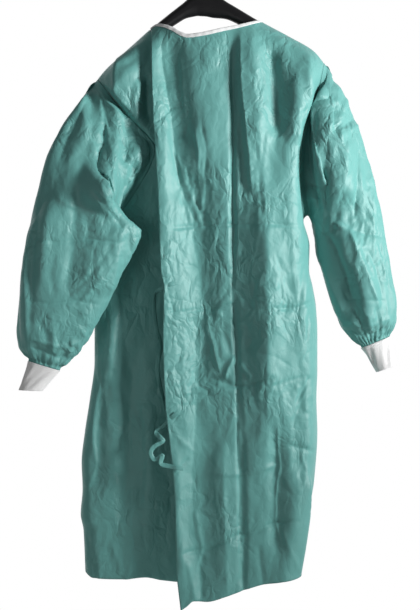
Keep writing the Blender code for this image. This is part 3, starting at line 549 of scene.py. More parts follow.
def smooth_line(keys, values, at):
    """Values along a line that never overshoots its points; each value may be an array."""
    keys, values = np.asarray(keys, float), np.asarray(values, float)
    if keys[0] > keys[-1]:
        keys, values = keys[::-1], values[::-1]
    at = np.clip(np.asarray(at, float), keys[0], keys[-1])
    wide = (slice(None),) + (None,) * (values.ndim - 1)
    spans = np.diff(keys)
    slopes = np.diff(values, axis=0) / spans[wide]
    tangents = np.concatenate((slopes[:1], np.zeros_like(slopes[1:]), slopes[-1:]))
    before, after = slopes[:-1], slopes[1:]
    same = before * after > 0
    joined = 2 * before * after / np.where(same, before + after, 1.0)
    tangents[1:-1] = np.where(same, joined, 0.0)
    i = np.clip(np.searchsorted(keys, at) - 1, 0, len(spans) - 1)
    shape = at.shape + (1,) * (values.ndim - 1)
    t = ((at - keys[i]) / spans[i]).reshape(shape)
    span = spans[i].reshape(shape)
    rise = t * t * (3 - 2 * t)
    ends = (t ** 3 - 2 * t * t + t) * tangents[i] + (t ** 3 - t * t) * tangents[i + 1]
    return values[i] * (1 - rise) + values[i + 1] * rise + ends * span


def read(rows, key, column, at):
    keys = [getattr(row, key) for row in rows]
    return smooth_line(keys, [getattr(row, column) for row in rows], at)


def crest(x):
    return read(CREST, "x", "z", x)


def rounded(share):
    """From 0 at an edge to 1 inside, upright at the edge, as cloth turns over one."""
    return np.sqrt(1 - (1 - np.clip(share, 0.0, 1.0)) ** 2)


def eased(share):
    share = np.clip(share, 0.0, 1.0)
    return share * share * (3 - 2 * share)


def unit(rows):
    return rows / np.linalg.norm(rows, axis=1, keepdims=True)


def reach_along(line):
    """How far along a line each of its points is."""
    return np.concatenate(([0], np.cumsum(np.linalg.norm(np.diff(line, axis=0), axis=1))))


def between(a, b, c, d, t):
    """A smooth curve from b to c that comes from a and goes on to d."""
    bend = (2 * a - 5 * b + 4 * c - d) * t * t + (3 * b - a - 3 * c + d) * t ** 3
    return 0.5 * (2 * b + (c - a) * t + bend)


def folds_at(rows, x, z):
    """Sum of the largest troughs and ridges."""
    total = np.zeros(np.shape(x))
    for fold in rows:
        along_x, along_z = fold.x_end - fold.x_top, fold.z_end - fold.z_top
        length = math.hypot(along_x, along_z)
        share = ((x - fold.x_top) * along_x + (z - fold.z_top) * along_z) / length ** 2
        aside = ((x - fold.x_top) * along_z - (z - fold.z_top) * along_x) / length
        ends = np.clip(np.minimum(share, 1 - share) * 4, 0.0, 1.0)
        ends = ends * ends * (3 - 2 * ends) * ends
        total = total + fold.depth * ends * np.exp(-((aside / fold.width) ** 2))
    return total


def limit(armhole, side, z):
    outwards = 1 if side[0].x > 0 else -1
    above = read(armhole, "z", "x", z) + outwards * read(armhole, "z", "slack", z)
    return np.where(z <= side[0].z, read(side, "z", "x", z), above)


def layer(depth, x, z, folds, below):
    steady = rounded((crest(x) - z - CREST_FLAT) / SHOULDER_DROP) * below
    return steady * read(DEPTH, "z", depth, z) - steady * folds_at(folds, x, z)


def outer_y(x, z):
    below = rounded((limit(RIGHT_BACK_ARMHOLE, RIGHT_SIDE, z) - x) / OUTER_ROUND)
    lift = OVERLAP_LIFT * (1 - eased((x - OVERLAP_END + 16) / (1.5 * LIFT_FADE)))
    return -layer("outer", x, z, OUTER_FOLDS, below) - lift - SEAM_GAP / 2


def inner_y(x, z):
    below = rounded((x - limit(LEFT_BACK_ARMHOLE, LEFT_SIDE, z)) / INNER_ROUND)
    return -layer("inner", x, z, INNER_FOLDS, below) - SEAM_GAP / 2


def front_y(x, z):
    left = rounded((x - limit(LEFT_FRONT_ARMHOLE, LEFT_SIDE, z)) / FRONT_ROUND)
    right = rounded((limit(RIGHT_FRONT_ARMHOLE, RIGHT_SIDE, z) - x) / FRONT_ROUND)
    return layer("front", x, z, FRONT_FOLDS, left * right) + SEAM_GAP / 2


def spread(count, near_start, near_end):
    """Shares from 0 to 1, closer together towards an end that turns round a side."""
    t = np.linspace(0, 1, count + 1)
    if near_start and near_end:
        return (1 - np.cos(t * math.pi)) / 2
    if near_end:
        return 0.6 * np.sin(t * math.pi / 2) + 0.4 * t
    return t


def line_points(line, shares):
    """Points at shares of the way along a fine polyline."""
    line = np.asarray(line, float)
    reach = reach_along(line)
    at = np.asarray(shares) * reach[-1]
    return np.stack([np.interp(at, reach, line[:, k]) for k in range(line.shape[1])], axis=1)


def along_x(rows, start, end, step=1.0):
    x = np.linspace(start, end, max(2, round(abs(end - start) / step)) + 1)
    return np.stack((x, read(rows, "x", "z", x)), axis=1)


def edge_down(armhole, side, rows):
    """Evenly spaced points of a panel's armhole edge and side seam, as (x, z)."""
    heights = np.linspace(armhole[0].z, armhole[-1].z, 200)
    upper = np.stack((read(armhole, "z", "x", heights), heights), axis=1)
    heights = np.linspace(side[0].z, side[-1].z, 400)[1:]
    lower = np.stack((read(side, "z", "x", heights), heights), axis=1)
    upper_rows = round(rows * 0.36)
    over = line_points(upper, np.linspace(0, 1, upper_rows + 1))
    under = line_points(np.vstack((upper[-1:], lower)), np.linspace(0, 1, rows - upper_rows + 1))
    return np.vstack((over, under[1:]))


def patch(top, bottom, left, right, u):
    """A grid between four edge lines, as rows of (x, z)."""
    v = (right[:, 1] - right[0, 1]) / (right[-1, 1] - right[0, 1])
    v, u = v[:, None, None], u[None, :, None]
    across = (1 - v) * top[None] + v * bottom[None]
    down = (1 - u) * left[:, None] + u * right[:, None]
    ends = (1 - v) * ((1 - u) * top[0] + u * top[-1])
    ends = ends + v * ((1 - u) * bottom[0] + u * bottom[-1])
    return across + down - ends


def down_z(rows, right):
    shares = (right[:, 1] - right[0, 1]) / (right[-1, 1] - right[0, 1])
    z = rows[0].z + (rows[-1].z - rows[0].z) * shares
    return np.stack((read(rows, "z", "x", z), z), axis=1)


def with_depth(grid, depth):
    x, z = grid[..., 0], grid[..., 1]
    return np.stack((x, depth(x, z), z), axis=-1)


def outer_grid(rows, neck_columns, shoulder_columns):
    neck_end, tip = BACK_NECK[-1].x, RIGHT_BACK_ARMHOLE[0].x
    neck = along_x(BACK_NECK, BACK_NECK[0].x, neck_end)
    top = np.vstack((
        line_points(neck, np.linspace(0, 1, neck_columns + 1))[:-1],
        line_points(along_x(CREST, neck_end, tip), np.linspace(0, 1, shoulder_columns + 1)),
    ))
    shares = spread(len(top) - 1, False, True)
    right = edge_down(RIGHT_BACK_ARMHOLE, RIGHT_SIDE, rows)
    bottom = line_points(along_x(OUTER_HEM, OUTER_HEM[0].x, OUTER_HEM[-1].x), shares)
    return with_depth(patch(top, bottom, down_z(OUTER_EDGE, right), right, shares), outer_y)


def inner_grid(rows, neck_columns, shoulder_columns):
    tip, neck_start = LEFT_BACK_ARMHOLE[0].x, FRONT_NECK[0].x
    neck = along_x(BACK_NECK, INNER_EDGE[0].x, neck_start)
    neck[:, 1] = np.minimum(neck[:, 1] - INNER_NECK_DROP, crest(neck[:, 0]) - 0.2)
    neck[-1] = (neck_start, crest(neck_start))
    top = np.vstack((
        line_points(neck, np.linspace(0, 1, neck_columns + 1))[:-1],
        line_points(along_x(CREST, neck_start, tip), np.linspace(0, 1, shoulder_columns + 1)),
    ))
    shares = spread(len(top) - 1, False, True)
    left = edge_down(LEFT_BACK_ARMHOLE, LEFT_SIDE, rows)
    bottom = line_points(along_x(INNER_HEM, INNER_HEM[-1].x, INNER_HEM[0].x), shares)
    grid = patch(top, bottom, down_z(INNER_EDGE, left), left, shares)
    return with_depth(grid[:, ::-1], inner_y)


def front_grid(rows, neck_columns, shoulder_columns):
    starts = LEFT_FRONT_ARMHOLE[0].x, FRONT_NECK[0].x, FRONT_NECK[-1].x, RIGHT_FRONT_ARMHOLE[0].x
    evenly = np.linspace(0, 1, shoulder_columns + 1)
    neck = along_x(FRONT_NECK, starts[1], starts[2], 0.5)
    top = np.vstack((
        line_points(along_x(CREST, starts[0], starts[1]), evenly)[:-1],
        line_points(neck, np.linspace(0, 1, neck_columns + 1))[:-1],
        line_points(along_x(CREST, starts[2], starts[3]), evenly),
    ))
    shares = spread(len(top) - 1, True, True)
    left = edge_down(LEFT_FRONT_ARMHOLE, LEFT_SIDE, rows)
    right = edge_down(RIGHT_FRONT_ARMHOLE, RIGHT_SIDE, rows)
    bottom = line_points(along_x(FRONT_HEM, FRONT_HEM[0].x, FRONT_HEM[-1].x), shares)
    return with_depth(patch(top, bottom, left, right, shares), front_y)


def armhole_shares(count):
    t = np.linspace(0, 1, count + 1)
    return t ** 2.2 * (1 - t * t) + (1 - (1 - t) ** 1.5) * t * t


def armhole_rings(back, front, back_y, front_y_at, turn, push):
    """The sleeve's first rings: the armhole's edge, the same edge run on, and that one pushed out."""
    half = RING_STEPS // 2
    shares = armhole_shares(half)
    top, low = back[0].z, back[-1].z
    outwards = 1 if back[0].x > 0 else -1
    first, second, third = [], [], []
    for i in range(RING_STEPS):
        n = i if i <= half else RING_STEPS - i
        rows, depth = (back, back_y) if i <= half else (front, front_y_at)
        z = top + (low - top) * shares[n]
        x = float(read(rows, "z", "x", z))
        run = float(read(rows, "z", "x", z - 2) - read(rows, "z", "x", z + 2))
        inward = Vector((-4, 0, -run)).normalized() * outwards
        for end, near in ((0, 0), (1, half)):
            share = max(0.0, 1 - abs(n - near) / 2)
            angle = math.radians(turn[end])
            inward = inward.lerp(Vector((math.cos(angle), 0, math.sin(angle))), share)
        inward = inward.normalized() * LOOK_IN
        at_end = n in (0, half)
        here = Vector((x, 0 if at_end else float(depth(x, z)), z))
        inside_y = 0 if at_end else float(depth(x + inward.x, z + inward.z))
        away = (here - Vector((x + inward.x, inside_y, z + inward.z))).normalized()
        first.append(here + away * push.gap)
        second.append(here + away * (push.gap + RUN_ON))
        side = outwards * push.aside * math.exp(-(((n - half) / 2.5) ** 2))
        toward = push.toward * math.exp(-(((i - push.middle) / 2.2) ** 2))
        third.append(second[-1] + away * push.on + Vector((side, -toward, 0)))
    return [first, second, third]


def section_ring(row, underarm, folds):
    half = RING_STEPS // 2
    ring = []
    for i in range(RING_STEPS):
        if i <= half:
            angle = underarm * i / half
        else:
            angle = underarm + (2 * math.pi - underarm) * (i / half - 1)
        share = (1 + math.cos(angle)) / 2
        x = row.inner_x + (row.outer_x - row.inner_x) * share
        z = row.inner_z + (row.outer_z - row.inner_z) * share
        side = math.sin(angle)
        y = row.middle - row.half * side
        if side > 0:
            y += side * float(folds_at(folds, x, z))
        ring.append(Vector((x, y, z)))
    return ring


def cuff_rings(rows, middle, upright):
    along = Vector((rows[1].x - rows[0].x, 0, rows[1].z - rows[0].z)).normalized()
    rings = []
    for n, row in enumerate(rows):
        ring = []
        for i in range(RING_STEPS):
            angle = 2 * math.pi * i / RING_STEPS
            x = row.x + row.reach_x * math.cos(angle)
            z = row.z + row.reach_z * math.cos(angle) * upright
            point = Vector((x, middle - row.half * math.sin(angle), z))
            ring.append(point + along * SEAM_GAP if n == 0 else point)
        rings.append(ring)
    return rings


def finer_rings(rings, along_count, around_count):
    """A closed tube's coarse rings made fine and smooth, both along it and around it."""
    rings = np.array([[tuple(point) for point in ring] for ring in rings])
    at = np.arange(around_count) * rings.shape[1] / around_count
    i = at.astype(int)
    t = (at - i)[None, :, None]
    a, b, c, d = (rings[:, (i + k) % rings.shape[1]] for k in (-1, 0, 1, 2))
    rings = between(a, b, c, d, t)
    steps = np.linalg.norm(np.diff(rings, axis=0), axis=2).mean(axis=1)
    reach = np.concatenate(([0], np.cumsum(steps)))
    places = np.linspace(0, reach[-1], along_count + 1)
    return smooth_line(reach, rings, places), reach[-1] - places


def out_of(grid, closed):
    """Unit directions at right angles to a grid of points."""
    down = np.gradient(grid, axis=0)
    if closed:
        across = (np.roll(grid, -1, axis=1) - np.roll(grid, 1, axis=1)) / 2
    else:
        across = np.gradient(grid, axis=1)
    normal = np.cross(across, down)
    return normal / np.maximum(np.linalg.norm(normal, axis=-1, keepdims=True), 1e-9)


def sway(x, z, seed):
    """A slow waviness, so that no crease runs dead straight."""
    return np.sin(z / 41 + seed) + 0.6 * np.sin(x / 23 + z / 67 + 2.1 * seed) + 0.4 * np.sin(z / 13)


def facets(across, down, seed):
    """Distance to the nearest fold of a crumpled sheet: 0 on it, about 0.6 between folds."""
    cell_x, cell_z = np.floor(across), np.floor(down)
    near = np.full(np.shape(across), 9.0)
    second = near.copy()
    for step_x in (-1, 0, 1):
        for step_z in (-1, 0, 1):
            i, j = cell_x + step_x, cell_z + step_z
            mix = np.sin(i * 127.1 + j * 311.7 + seed * 74.7) * 4375.85
            other = np.sin(i * 269.5 + j * 183.3 + seed * 41.3) * 4375.85
            gap = np.hypot(i + mix % 1 - across, j + other % 1 - down)
            second = np.minimum(second, np.maximum(near, gap))
            near = np.minimum(near, gap)
    return second - near


def creased(rows, x, z):
    """Height of the listed creases, in millimetres."""
    x, z = x + 1.2 * sway(x, z, 0.7), z + 1.2 * sway(z, x, 1.9)
    total = np.zeros(x.shape)
    for row in rows:
        lengths = np.linalg.norm(np.diff(row.path, axis=0), axis=1)
        starts = np.concatenate(([0], np.cumsum(lengths)))
        nearest, share = np.full(x.shape, 1e9), np.zeros(x.shape)
        for a, b, length, start in zip(row.path, row.path[1:], lengths, starts):
            t = ((x - a[0]) * (b[0] - a[0]) + (z - a[1]) * (b[1] - a[1])) / length ** 2
            t = np.clip(t, 0, 1)
            gap = np.hypot(x - a[0] - t * (b[0] - a[0]), z - a[1] - t * (b[1] - a[1]))
            closer = gap < nearest
            share = np.where(closer, (start + t * length) / starts[-1], share)
            nearest = np.where(closer, gap, nearest)
        ends = eased(np.minimum(share, 1 - share) * 6)
        soft = np.exp(-((nearest / row.width) ** 2))
        sharp = np.exp(-nearest / row.width)
        total -= row.depth * ends * (row.crisp * sharp + (1 - row.crisp) * soft)
    return total


def waved(rows, x, z):
    """Height of the broad waves, in millimetres."""
    total = np.zeros(x.shape)
    for row in rows:
        points = row.path
        line_z = np.clip(z, points[-1, 1], points[0, 1])
        line_x = smooth_line(points[:, 1], points[:, 0], line_z)
        share = (points[0, 1] - z) / (points[0, 1] - points[-1, 1])
        ends = eased(np.minimum(share, 1 - share) * 5)
        aside = np.where(x < line_x, (line_x - x) / row.left, (x - line_x) / row.right)
        total += row.height * ends * (1 - np.clip(aside, 0, 1)) ** 1.4
    return total


def crumpled(rows, x, z, seed):
    """Height of the small folds that thin stiff cloth keeps, more in the worn places."""
    worn = np.zeros(x.shape)
    for row in rows:
        worn += row.strength * np.exp(
            -(((x - row.x) / row.reach_x) ** 2) - ((z - row.z) / row.reach_z) ** 2
        )
    x, z = x + 5 * sway(x, z, seed), z + 7 * sway(z, x, seed + 3)
    large = facets(x / 58, z / 120, seed) - 0.3
    middle = facets(x / 27, z / 44, seed + 5) - 0.3
    small = facets(x / 11, z / 15, seed + 9) - 0.3
    long = facets(x / 17, z / 150, seed + 13) - 0.3
    return (
        4.5 * large - (0.9 + 3.4 * worn) * middle + (0.1 + 2.2 * worn) * small
        + (0.7 + 1.4 * worn) * long
    )


def new_piece(name, mesh, paint):
    mesh.shade_smooth()
    mesh.materials.append(paint)
    piece = bpy.data.objects.new(name, mesh)
    bpy.context.scene.collection.objects.link(piece)
    return piece


def shell(name, grid, closed, thickness, paint):
    """A thin sheet or tube through a grid of points, its thickness kept on the inner side."""
    rows, columns = grid.shape[:2]
    index = np.arange(rows * columns).reshape(rows, columns)
    nexts = np.roll(index, -1, axis=1) if closed else index[:, 1:]
    here = index if closed else index[:, :-1]
    faces = np.stack((here[:-1], here[1:], nexts[1:], nexts[:-1]), axis=-1).reshape(-1, 4)
    mesh = bpy.data.meshes.new(name)
    mesh.from_pydata((grid.reshape(-1, 3) * MM).tolist(), [], faces.tolist())
    piece = new_piece(name, mesh, paint)
    if thickness:
        wall = piece.modifiers.new("Thickness", "SOLIDIFY")
        wall.thickness = thickness
        wall.offset = -1.0
        wall.use_rim = True
        apply_modifiers(piece)
    return piece


def apply_modifiers(piece):
    done = bpy.data.meshes.new_from_object(piece.evaluated_get(bpy.context.evaluated_depsgraph_get()))
    piece.modifiers.clear()
    piece.data = done


def outward_tube(rings, along_count, around_count):
    """A fine tube that faces outward, its distances to the far end and its outward directions."""
    fine, reach = finer_rings(rings, along_count, around_count)
    middle = fine.mean(axis=1, keepdims=True)
    if np.sum(out_of(fine, True) * (fine - middle)) < 0:
        fine = fine[:, ::-1]
    return fine, reach, out_of(fine, True)


def place(piece, *nodes, finish):
    """Puts a finished piece on the part's one body, in place of its plain solids."""
    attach(piece, "root")
    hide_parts(*nodes)


def new_material(name):
    paint = bpy.data.materials.new(name)
    paint.use_nodes = True
    tree = paint.node_tree
    return paint, tree, tree.nodes["Principled BSDF"]


def add(tree, kind, **inputs):
    """A new node with its inputs set by name."""
    node = tree.nodes.new(kind)
    for key, value in inputs.items():
        node.inputs[key.replace("_", " ")].default_value = value
    return node


def reads_place(tree, *nodes):
    """Sets textures on the piece's own coordinates."""
    place_of = tree.nodes.new("ShaderNodeTexCoord").outputs["Object"]
    for node in nodes:
        tree.links.new(place_of, node.inputs[0])
    return place_of


def relief(tree, shader, *rows):
    """Bumps one on another, each as what gives its height, its strength and its depth."""
    chain = None
    for height, strength, depth in rows:
        bump = add(tree, "ShaderNodeBump", Strength=strength, Distance=depth)
        tree.links.new(height, bump.inputs["Height"])
        if chain:
            tree.links.new(chain, bump.inputs["Normal"])
        chain = bump.outputs["Normal"]
    tree.links.new(chain, shader.inputs["Normal"])


def ranged(tree, source, target, **ends):
    """Carries a value to another socket, over the range given."""
    span = add(tree, "ShaderNodeMapRange", **ends)
    tree.links.new(source, span.inputs["Value"])
    tree.links.new(span.outputs["Result"], target)


def nonwoven(name, colour, tone):
    """Calendered nonwoven cloth: faint fibre mottling, fine paper-like wrinkles and bond dots."""
    paint, tree, shader = new_material(name)
    link = tree.links.new
    mottle = add(tree, "ShaderNodeTexNoise", Scale=38.0, Detail=6.0, Roughness=0.62)
    fibre = add(tree, "ShaderNodeTexNoise", Scale=900.0, Detail=3.0, Roughness=0.7)
    broad = add(tree, "ShaderNodeTexNoise", Scale=3.2, Detail=3.0)
    tint = add(tree, "ShaderNodeMix", Factor=0.5)
    tint.data_type = "RGBA"
    dark = tuple(c * 0.86 for c in colour[:3])
    light = tuple(min(1.0, c * 1.12) for c in colour[:3])
    tint.inputs["A"].default_value = (*dark, 1)
    tint.inputs["B"].default_value = (*light, 1)
    blend = add(tree, "ShaderNodeMath")
    blend.operation = "MULTIPLY_ADD"
    blend.inputs[1].default_value = 0.55
    link(mottle.outputs["Fac"], blend.inputs[0])
    shift = add(tree, "ShaderNodeMath")
    shift.operation = "MULTIPLY"
    shift.inputs[1].default_value = 0.45
    link(broad.outputs["Fac"], shift.inputs[0])
    link(shift.outputs[0], blend.inputs[2])
    link(blend.outputs[0], tint.inputs["Factor"])
    link(tint.outputs["Result"], shader.inputs["Base Color"])
    warp = add(tree, "ShaderNodeTexNoise", Scale=14.0, Detail=3.0)
    bent = add(tree, "ShaderNodeMix", Factor=0.07)
    bent.data_type = "RGBA"
    bent.blend_type = "ADD"
    long = tree.nodes.new("ShaderNodeMapping")
    long.inputs["Scale"].default_value = (1.0, 0.6, 0.5)
    patches = add(tree, "ShaderNodeTexNoise", Scale=9.0, Detail=2.0)
    dots = add(tree, "ShaderNodeTexVoronoi", Scale=760.0, Randomness=0.15)
    place_of = reads_place(tree, mottle, fibre, broad, warp, patches, dots)
    link(place_of, bent.inputs["A"])
    link(warp.outputs["Color"], bent.inputs["B"])
    link(bent.outputs["Result"], long.inputs["Vector"])
    where = add(tree, "ShaderNodeMapRange", From_Min=0.42, From_Max=0.66)
    link(patches.outputs["Fac"], where.inputs["Value"])
    folds = []
    for scale, calm, busy in ((34.0, 0.25, 1.0), (88.0, 0.05, 0.5)):
        cells = add(tree, "ShaderNodeTexVoronoi", Scale=scale, Randomness=1.0)
        cells.feature = "DISTANCE_TO_EDGE"
        link(long.outputs["Vector"], cells.inputs["Vector"])
        deep = add(tree, "ShaderNodeMath")
        deep.operation = "MULTIPLY"
        link(cells.outputs["Distance"], deep.inputs[0])
        ranged(tree, where.outputs["Result"], deep.inputs[1], To_Min=calm, To_Max=busy)
        folds.append(deep.outputs[0])
    relief(
        tree, shader, (dots.outputs["Distance"], 0.25, 0.0003), (fibre.outputs["Fac"], 0.2, 0.0002),
        (mottle.outputs["Fac"], 0.2, 0.001), (folds[0], 0.8, 0.009), (folds[1], 0.8, 0.005),
    )
    rough = shader.inputs["Roughness"]
    ranged(tree, mottle.outputs["Fac"], rough, To_Min=tone - 0.06, To_Max=tone + 0.1)
    shader.inputs["Sheen Weight"].default_value = 0.12
    shader.inputs["Sheen Roughness"].default_value = 0.4
    return paint


def knit(name, colour):
    """Fine white jersey, each stitch a small loop."""
    paint, tree, shader = new_material(name)
    link = tree.links.new
    loops = add(tree, "ShaderNodeTexVoronoi", Scale=620.0, Randomness=0.35)
    fuzz = add(tree, "ShaderNodeTexNoise", Scale=1500.0, Detail=4.0)
    broad = add(tree, "ShaderNodeTexNoise", Scale=60.0, Detail=3.0)
    reads_place(tree, loops, fuzz, broad)
    shade = tree.nodes.new("ShaderNodeValToRGB")
    shade.color_ramp.elements[0].color = (*(c * 0.8 for c in colour[:3]), 1)
    shade.color_ramp.elements[1].color = (*colour[:3], 1)
    shade.color_ramp.elements[1].position = 0.6
    link(broad.outputs["Fac"], shade.inputs["Fac"])
    link(shade.outputs["Color"], shader.inputs["Base Color"])
    stitch, fluff = loops.outputs["Distance"], fuzz.outputs["Fac"]
    relief(tree, shader, (stitch, 0.5, 0.0006), (fluff, 0.4, 0.0003))
    shader.inputs["Roughness"].default_value = 0.85
    shader.inputs["Sheen Weight"].default_value = 0.3
    return paint


def plastic(name, colour):
    """Moulded black plastic with a faint grain and scuffs."""
    paint, tree, shader = new_material(name)
    grain = add(tree, "ShaderNodeTexNoise", Scale=1400.0, Detail=2.0)
    scuff = add(tree, "ShaderNodeTexNoise", Scale=45.0, Detail=7.0, Roughness=0.7)
    reads_place(tree, grain, scuff)
    ranged(tree, scuff.outputs["Fac"], shader.inputs["Roughness"], To_Min=0.3, To_Max=0.55)
    relief(tree, shader, (grain.outputs["Fac"], 0.25, 0.0002))
    shader.inputs["Base Color"].default_value = (*colour[:3], 1)
    return paint


def steel(name):
    """Drawn steel wire with fine marks along it."""
    paint, tree, shader = new_material(name)
    marks = add(tree, "ShaderNodeTexNoise", Scale=700.0, Detail=4.0)
    reads_place(tree, marks)
    ranged(tree, marks.outputs["Fac"], shader.inputs["Roughness"], To_Min=0.2, To_Max=0.38)
    shader.inputs["Metallic"].default_value = 1.0
    shader.inputs["Base Color"].default_value = (0.62, 0.62, 0.64, 1)
    return paint


class GownSizes(bpy.types.PropertyGroup):
    """Sizes and finishes of the gown"""

    cloth: FloatProperty(
        name="Cloth", description="Thickness of the nonwoven cloth", default=0.0006,
        min=0.0002, max=0.002, subtype="DISTANCE", unit="LENGTH",
    )
    knit: FloatProperty(
        name="Knit", description="Thickness of the knit cuffs", default=0.0012,
        min=0.0005, max=0.003, subtype="DISTANCE", unit="LENGTH",
    )
    crease: FloatProperty(
        name="Creases", description="How deep the set creases are", default=1.0, min=0.0, max=2.0,
    )
    crumple: FloatProperty(
        name="Crumples", description="How crumpled the cloth is", default=0.62, min=0.0, max=1.0,
    )
    cloth_colour: FloatVectorProperty(
        name="Cloth colour", description="Colour of the nonwoven cloth", subtype="COLOR",
        default=(0.13, 0.375, 0.35), min=0.0, max=1.0,
    )
    knit_colour: FloatVectorProperty(
        name="Cuff colour", description="Colour of the cuffs", subtype="COLOR",
        default=(0.86, 0.87, 0.88), min=0.0, max=1.0,
    )
    tape_colour: FloatVectorProperty(
        name="Tape colour", description="Colour of the neck tape", subtype="COLOR",
        default=(0.76, 0.79, 0.78), min=0.0, max=1.0,
    )
    hanger_colour: FloatVectorProperty(
        name="Hanger colour", description="Colour of the hanger", subtype="COLOR",
        default=(0.006, 0.006, 0.007), min=0.0, max=1.0,
    )


class StageSettings(bpy.types.PropertyGroup):
    """Light, camera and floor"""

    key: FloatProperty(
        name="Key light", description="Power of the main light", default=15.8, min=0.0,
        subtype="POWER", unit="POWER",
    )
    fill: FloatProperty(
        name="Fill light", description="Power of the fill light", default=1.6, min=0.0,
        subtype="POWER", unit="POWER",
    )
    around: FloatProperty(
        name="Surroundings", description="Brightness of the room", default=0.1, min=0.0, max=2.0,
    )
    floor: FloatProperty(
        name="Floor", description="Height of the floor", default=-1.66, subtype="DISTANCE",
        unit="LENGTH",
    )


def finish_of(name, make, *settings):
    """The material of this name, made when it is first asked for."""
    return bpy.data.materials.get(name) or make(name, *settings)


def cloth_paint():
    return finish_of("gown_nonwoven", nonwoven, bpy.context.scene.gown_sizes.cloth_colour, 0.5)


def dressed(grid, waves, creases, crumples, seed, hold):
    """A panel's points with its waves, creases and crumples, held still where hold is 0."""
    sizes = bpy.context.scene.gown_sizes
    x, z = grid[..., 0], grid[..., 2]
    height = waved(waves, x, z) + sizes.crease * creased(creases, x, z)
    height += sizes.crumple * crumpled(crumples, x, z, seed)
    return grid + out_of(grid, False) * (height * hold)[..., None]


def panel(node, grid, outward, waves, creases, crumples, seed, freedom):
    """One body panel, finished and put in place of its solid."""
    if np.sum(out_of(grid, False) * (0, outward, 0)) < 0:
        grid = grid[:, ::-1]
    piece = shell(
        node + "_cloth", dressed(grid, waves, creases, crumples, seed, freedom(grid)), False,
        bpy.context.scene.gown_sizes.cloth, cloth_paint(),
    )
    place(piece, node, finish="gown_cloth")


def edge_at(armhole, side, z):
    """A panel's outer edge at a height: its armhole, and below that its side seam."""
    return np.where(z > armhole[-1].z, read(armhole, "z", "x", z), read(side, "z", "x", z))


def from_top(x, z, reach):
    return eased((crest(x) - z) / reach)


def outer_freedom(grid):
    x, z = grid[..., 0], grid[..., 2]
    right = edge_at(RIGHT_BACK_ARMHOLE, RIGHT_SIDE, z)
    neck = eased((read(BACK_NECK, "x", "z", x) - z + 2) / 22)
    return np.where(x < BACK_NECK[-1].x, neck, from_top(x, z, 30)) * eased((right - x + 1) / 16)


def inner_freedom(grid):
    x, z = grid[..., 0], grid[..., 2]
    left = edge_at(LEFT_BACK_ARMHOLE, LEFT_SIDE, z)
    return from_top(x, z, 36) * eased((x - left + 1) / 16)


def front_freedom(grid):
    x, z = grid[..., 0], grid[..., 2]
    left = edge_at(LEFT_FRONT_ARMHOLE, LEFT_SIDE, z)
    right = edge_at(RIGHT_FRONT_ARMHOLE, RIGHT_SIDE, z)
    neck = eased((read(FRONT_NECK, "x", "z", x) - z + 2) / 22)
    on_neck = (x > FRONT_NECK[0].x) & (x < FRONT_NECK[-1].x)
    top = np.where(on_neck, neck, from_top(x, z, 30))
    return top * eased((x - left + 1) / 16) * eased((right - x + 1) / 16)


def ring_freedom(along, reach):
    """How free a sleeve is to crumple: not at the armhole, and little where the cuff holds it."""
    return (eased((reach[0] - reach) / 26) * eased((reach + 3) / 14))[:, None] * np.ones(along)


def gathered(shape, reach, seed):
    """Height of the gathers that the cuff draws the sleeve into, in millimetres."""
    around = np.linspace(0, 2 * math.pi, shape[1], endpoint=False)[None, :]
    near = np.exp(-reach / 26)[:, None] * eased((reach + 1) / 8)[:, None]
    far = np.exp(-reach / 60)[:, None] * eased((reach + 1) / 8)[:, None]
    wander = 0.35 * np.sin(reach / 19 + seed)[:, None]
    pleats = np.sin(13 * around + 1.3 * np.sin(3 * around + seed) + wander)
    pleats = 0.7 - 1.6 * np.abs(pleats) ** 0.7
    broad = np.sin(6 * around + 1.1 * np.sin(2 * around + seed) + 2 * wander)
    return 2.6 * near * pleats + 2.0 * far * broad


def sleeve(node, rings, seed, waves, creases, far_creases, crumples):
    """One sleeve from its armhole to its gathered wrist, put in place of its solid."""
    fine, reach, normal = outward_tube(rings, 190, 150)
    x, z = fine[..., 0], fine[..., 2]
    sizes = bpy.context.scene.gown_sizes
    near_side = eased(0.5 - 1.6 * normal[..., 1])
    height = near_side * sizes.crease * creased(creases, x, z)
    height += sizes.crease * (1 - near_side) * creased(far_creases, x, z)
    height += sizes.crumple * crumpled(crumples, x + 0.8 * fine[..., 1], z, seed)
    height = height * ring_freedom(fine.shape[1], reach)
    facing = eased(-1.4 * normal[..., 1] - 0.12)
    height += facing * waved(waves, x, z) * eased((reach[0] - reach) / 12)[:, None]
    height += gathered(fine.shape, reach, seed)
    piece = shell(node + "_cloth", fine + normal * height[..., None], True, sizes.cloth, cloth_paint())
    place(piece, node, finish="gown_cloth")


def cuff(node, rings, seed):
    """A ribbed knit tube, slightly slack, with a turned end."""
    fine, reach, normal = outward_tube(rings, 46, 432)
    around = np.linspace(0, 2 * math.pi, fine.shape[1], endpoint=False)[None, :]
    down = (reach / reach[0])[:, None]
    ribs = 0.32 * np.cos(72 * around + 0.25 * np.sin(5 * down + seed))
    slack = 0.9 * np.sin(5 * around + 3 * down + seed) * np.sin(math.pi * down)
    folds = 0.5 * np.sin(9 * around + 7 * down + seed)
    height = ribs + slack + folds * np.sin(math.pi * np.clip(down, 0, 1)) ** 0.5
    paint = finish_of("cuff_knit", knit, bpy.context.scene.gown_sizes.knit_colour)
    piece = shell(
        node + "_knit", fine + normal * height[..., None], True,
        bpy.context.scene.gown_sizes.knit, paint,
    )
    place(piece, node, finish="cuff_knit")


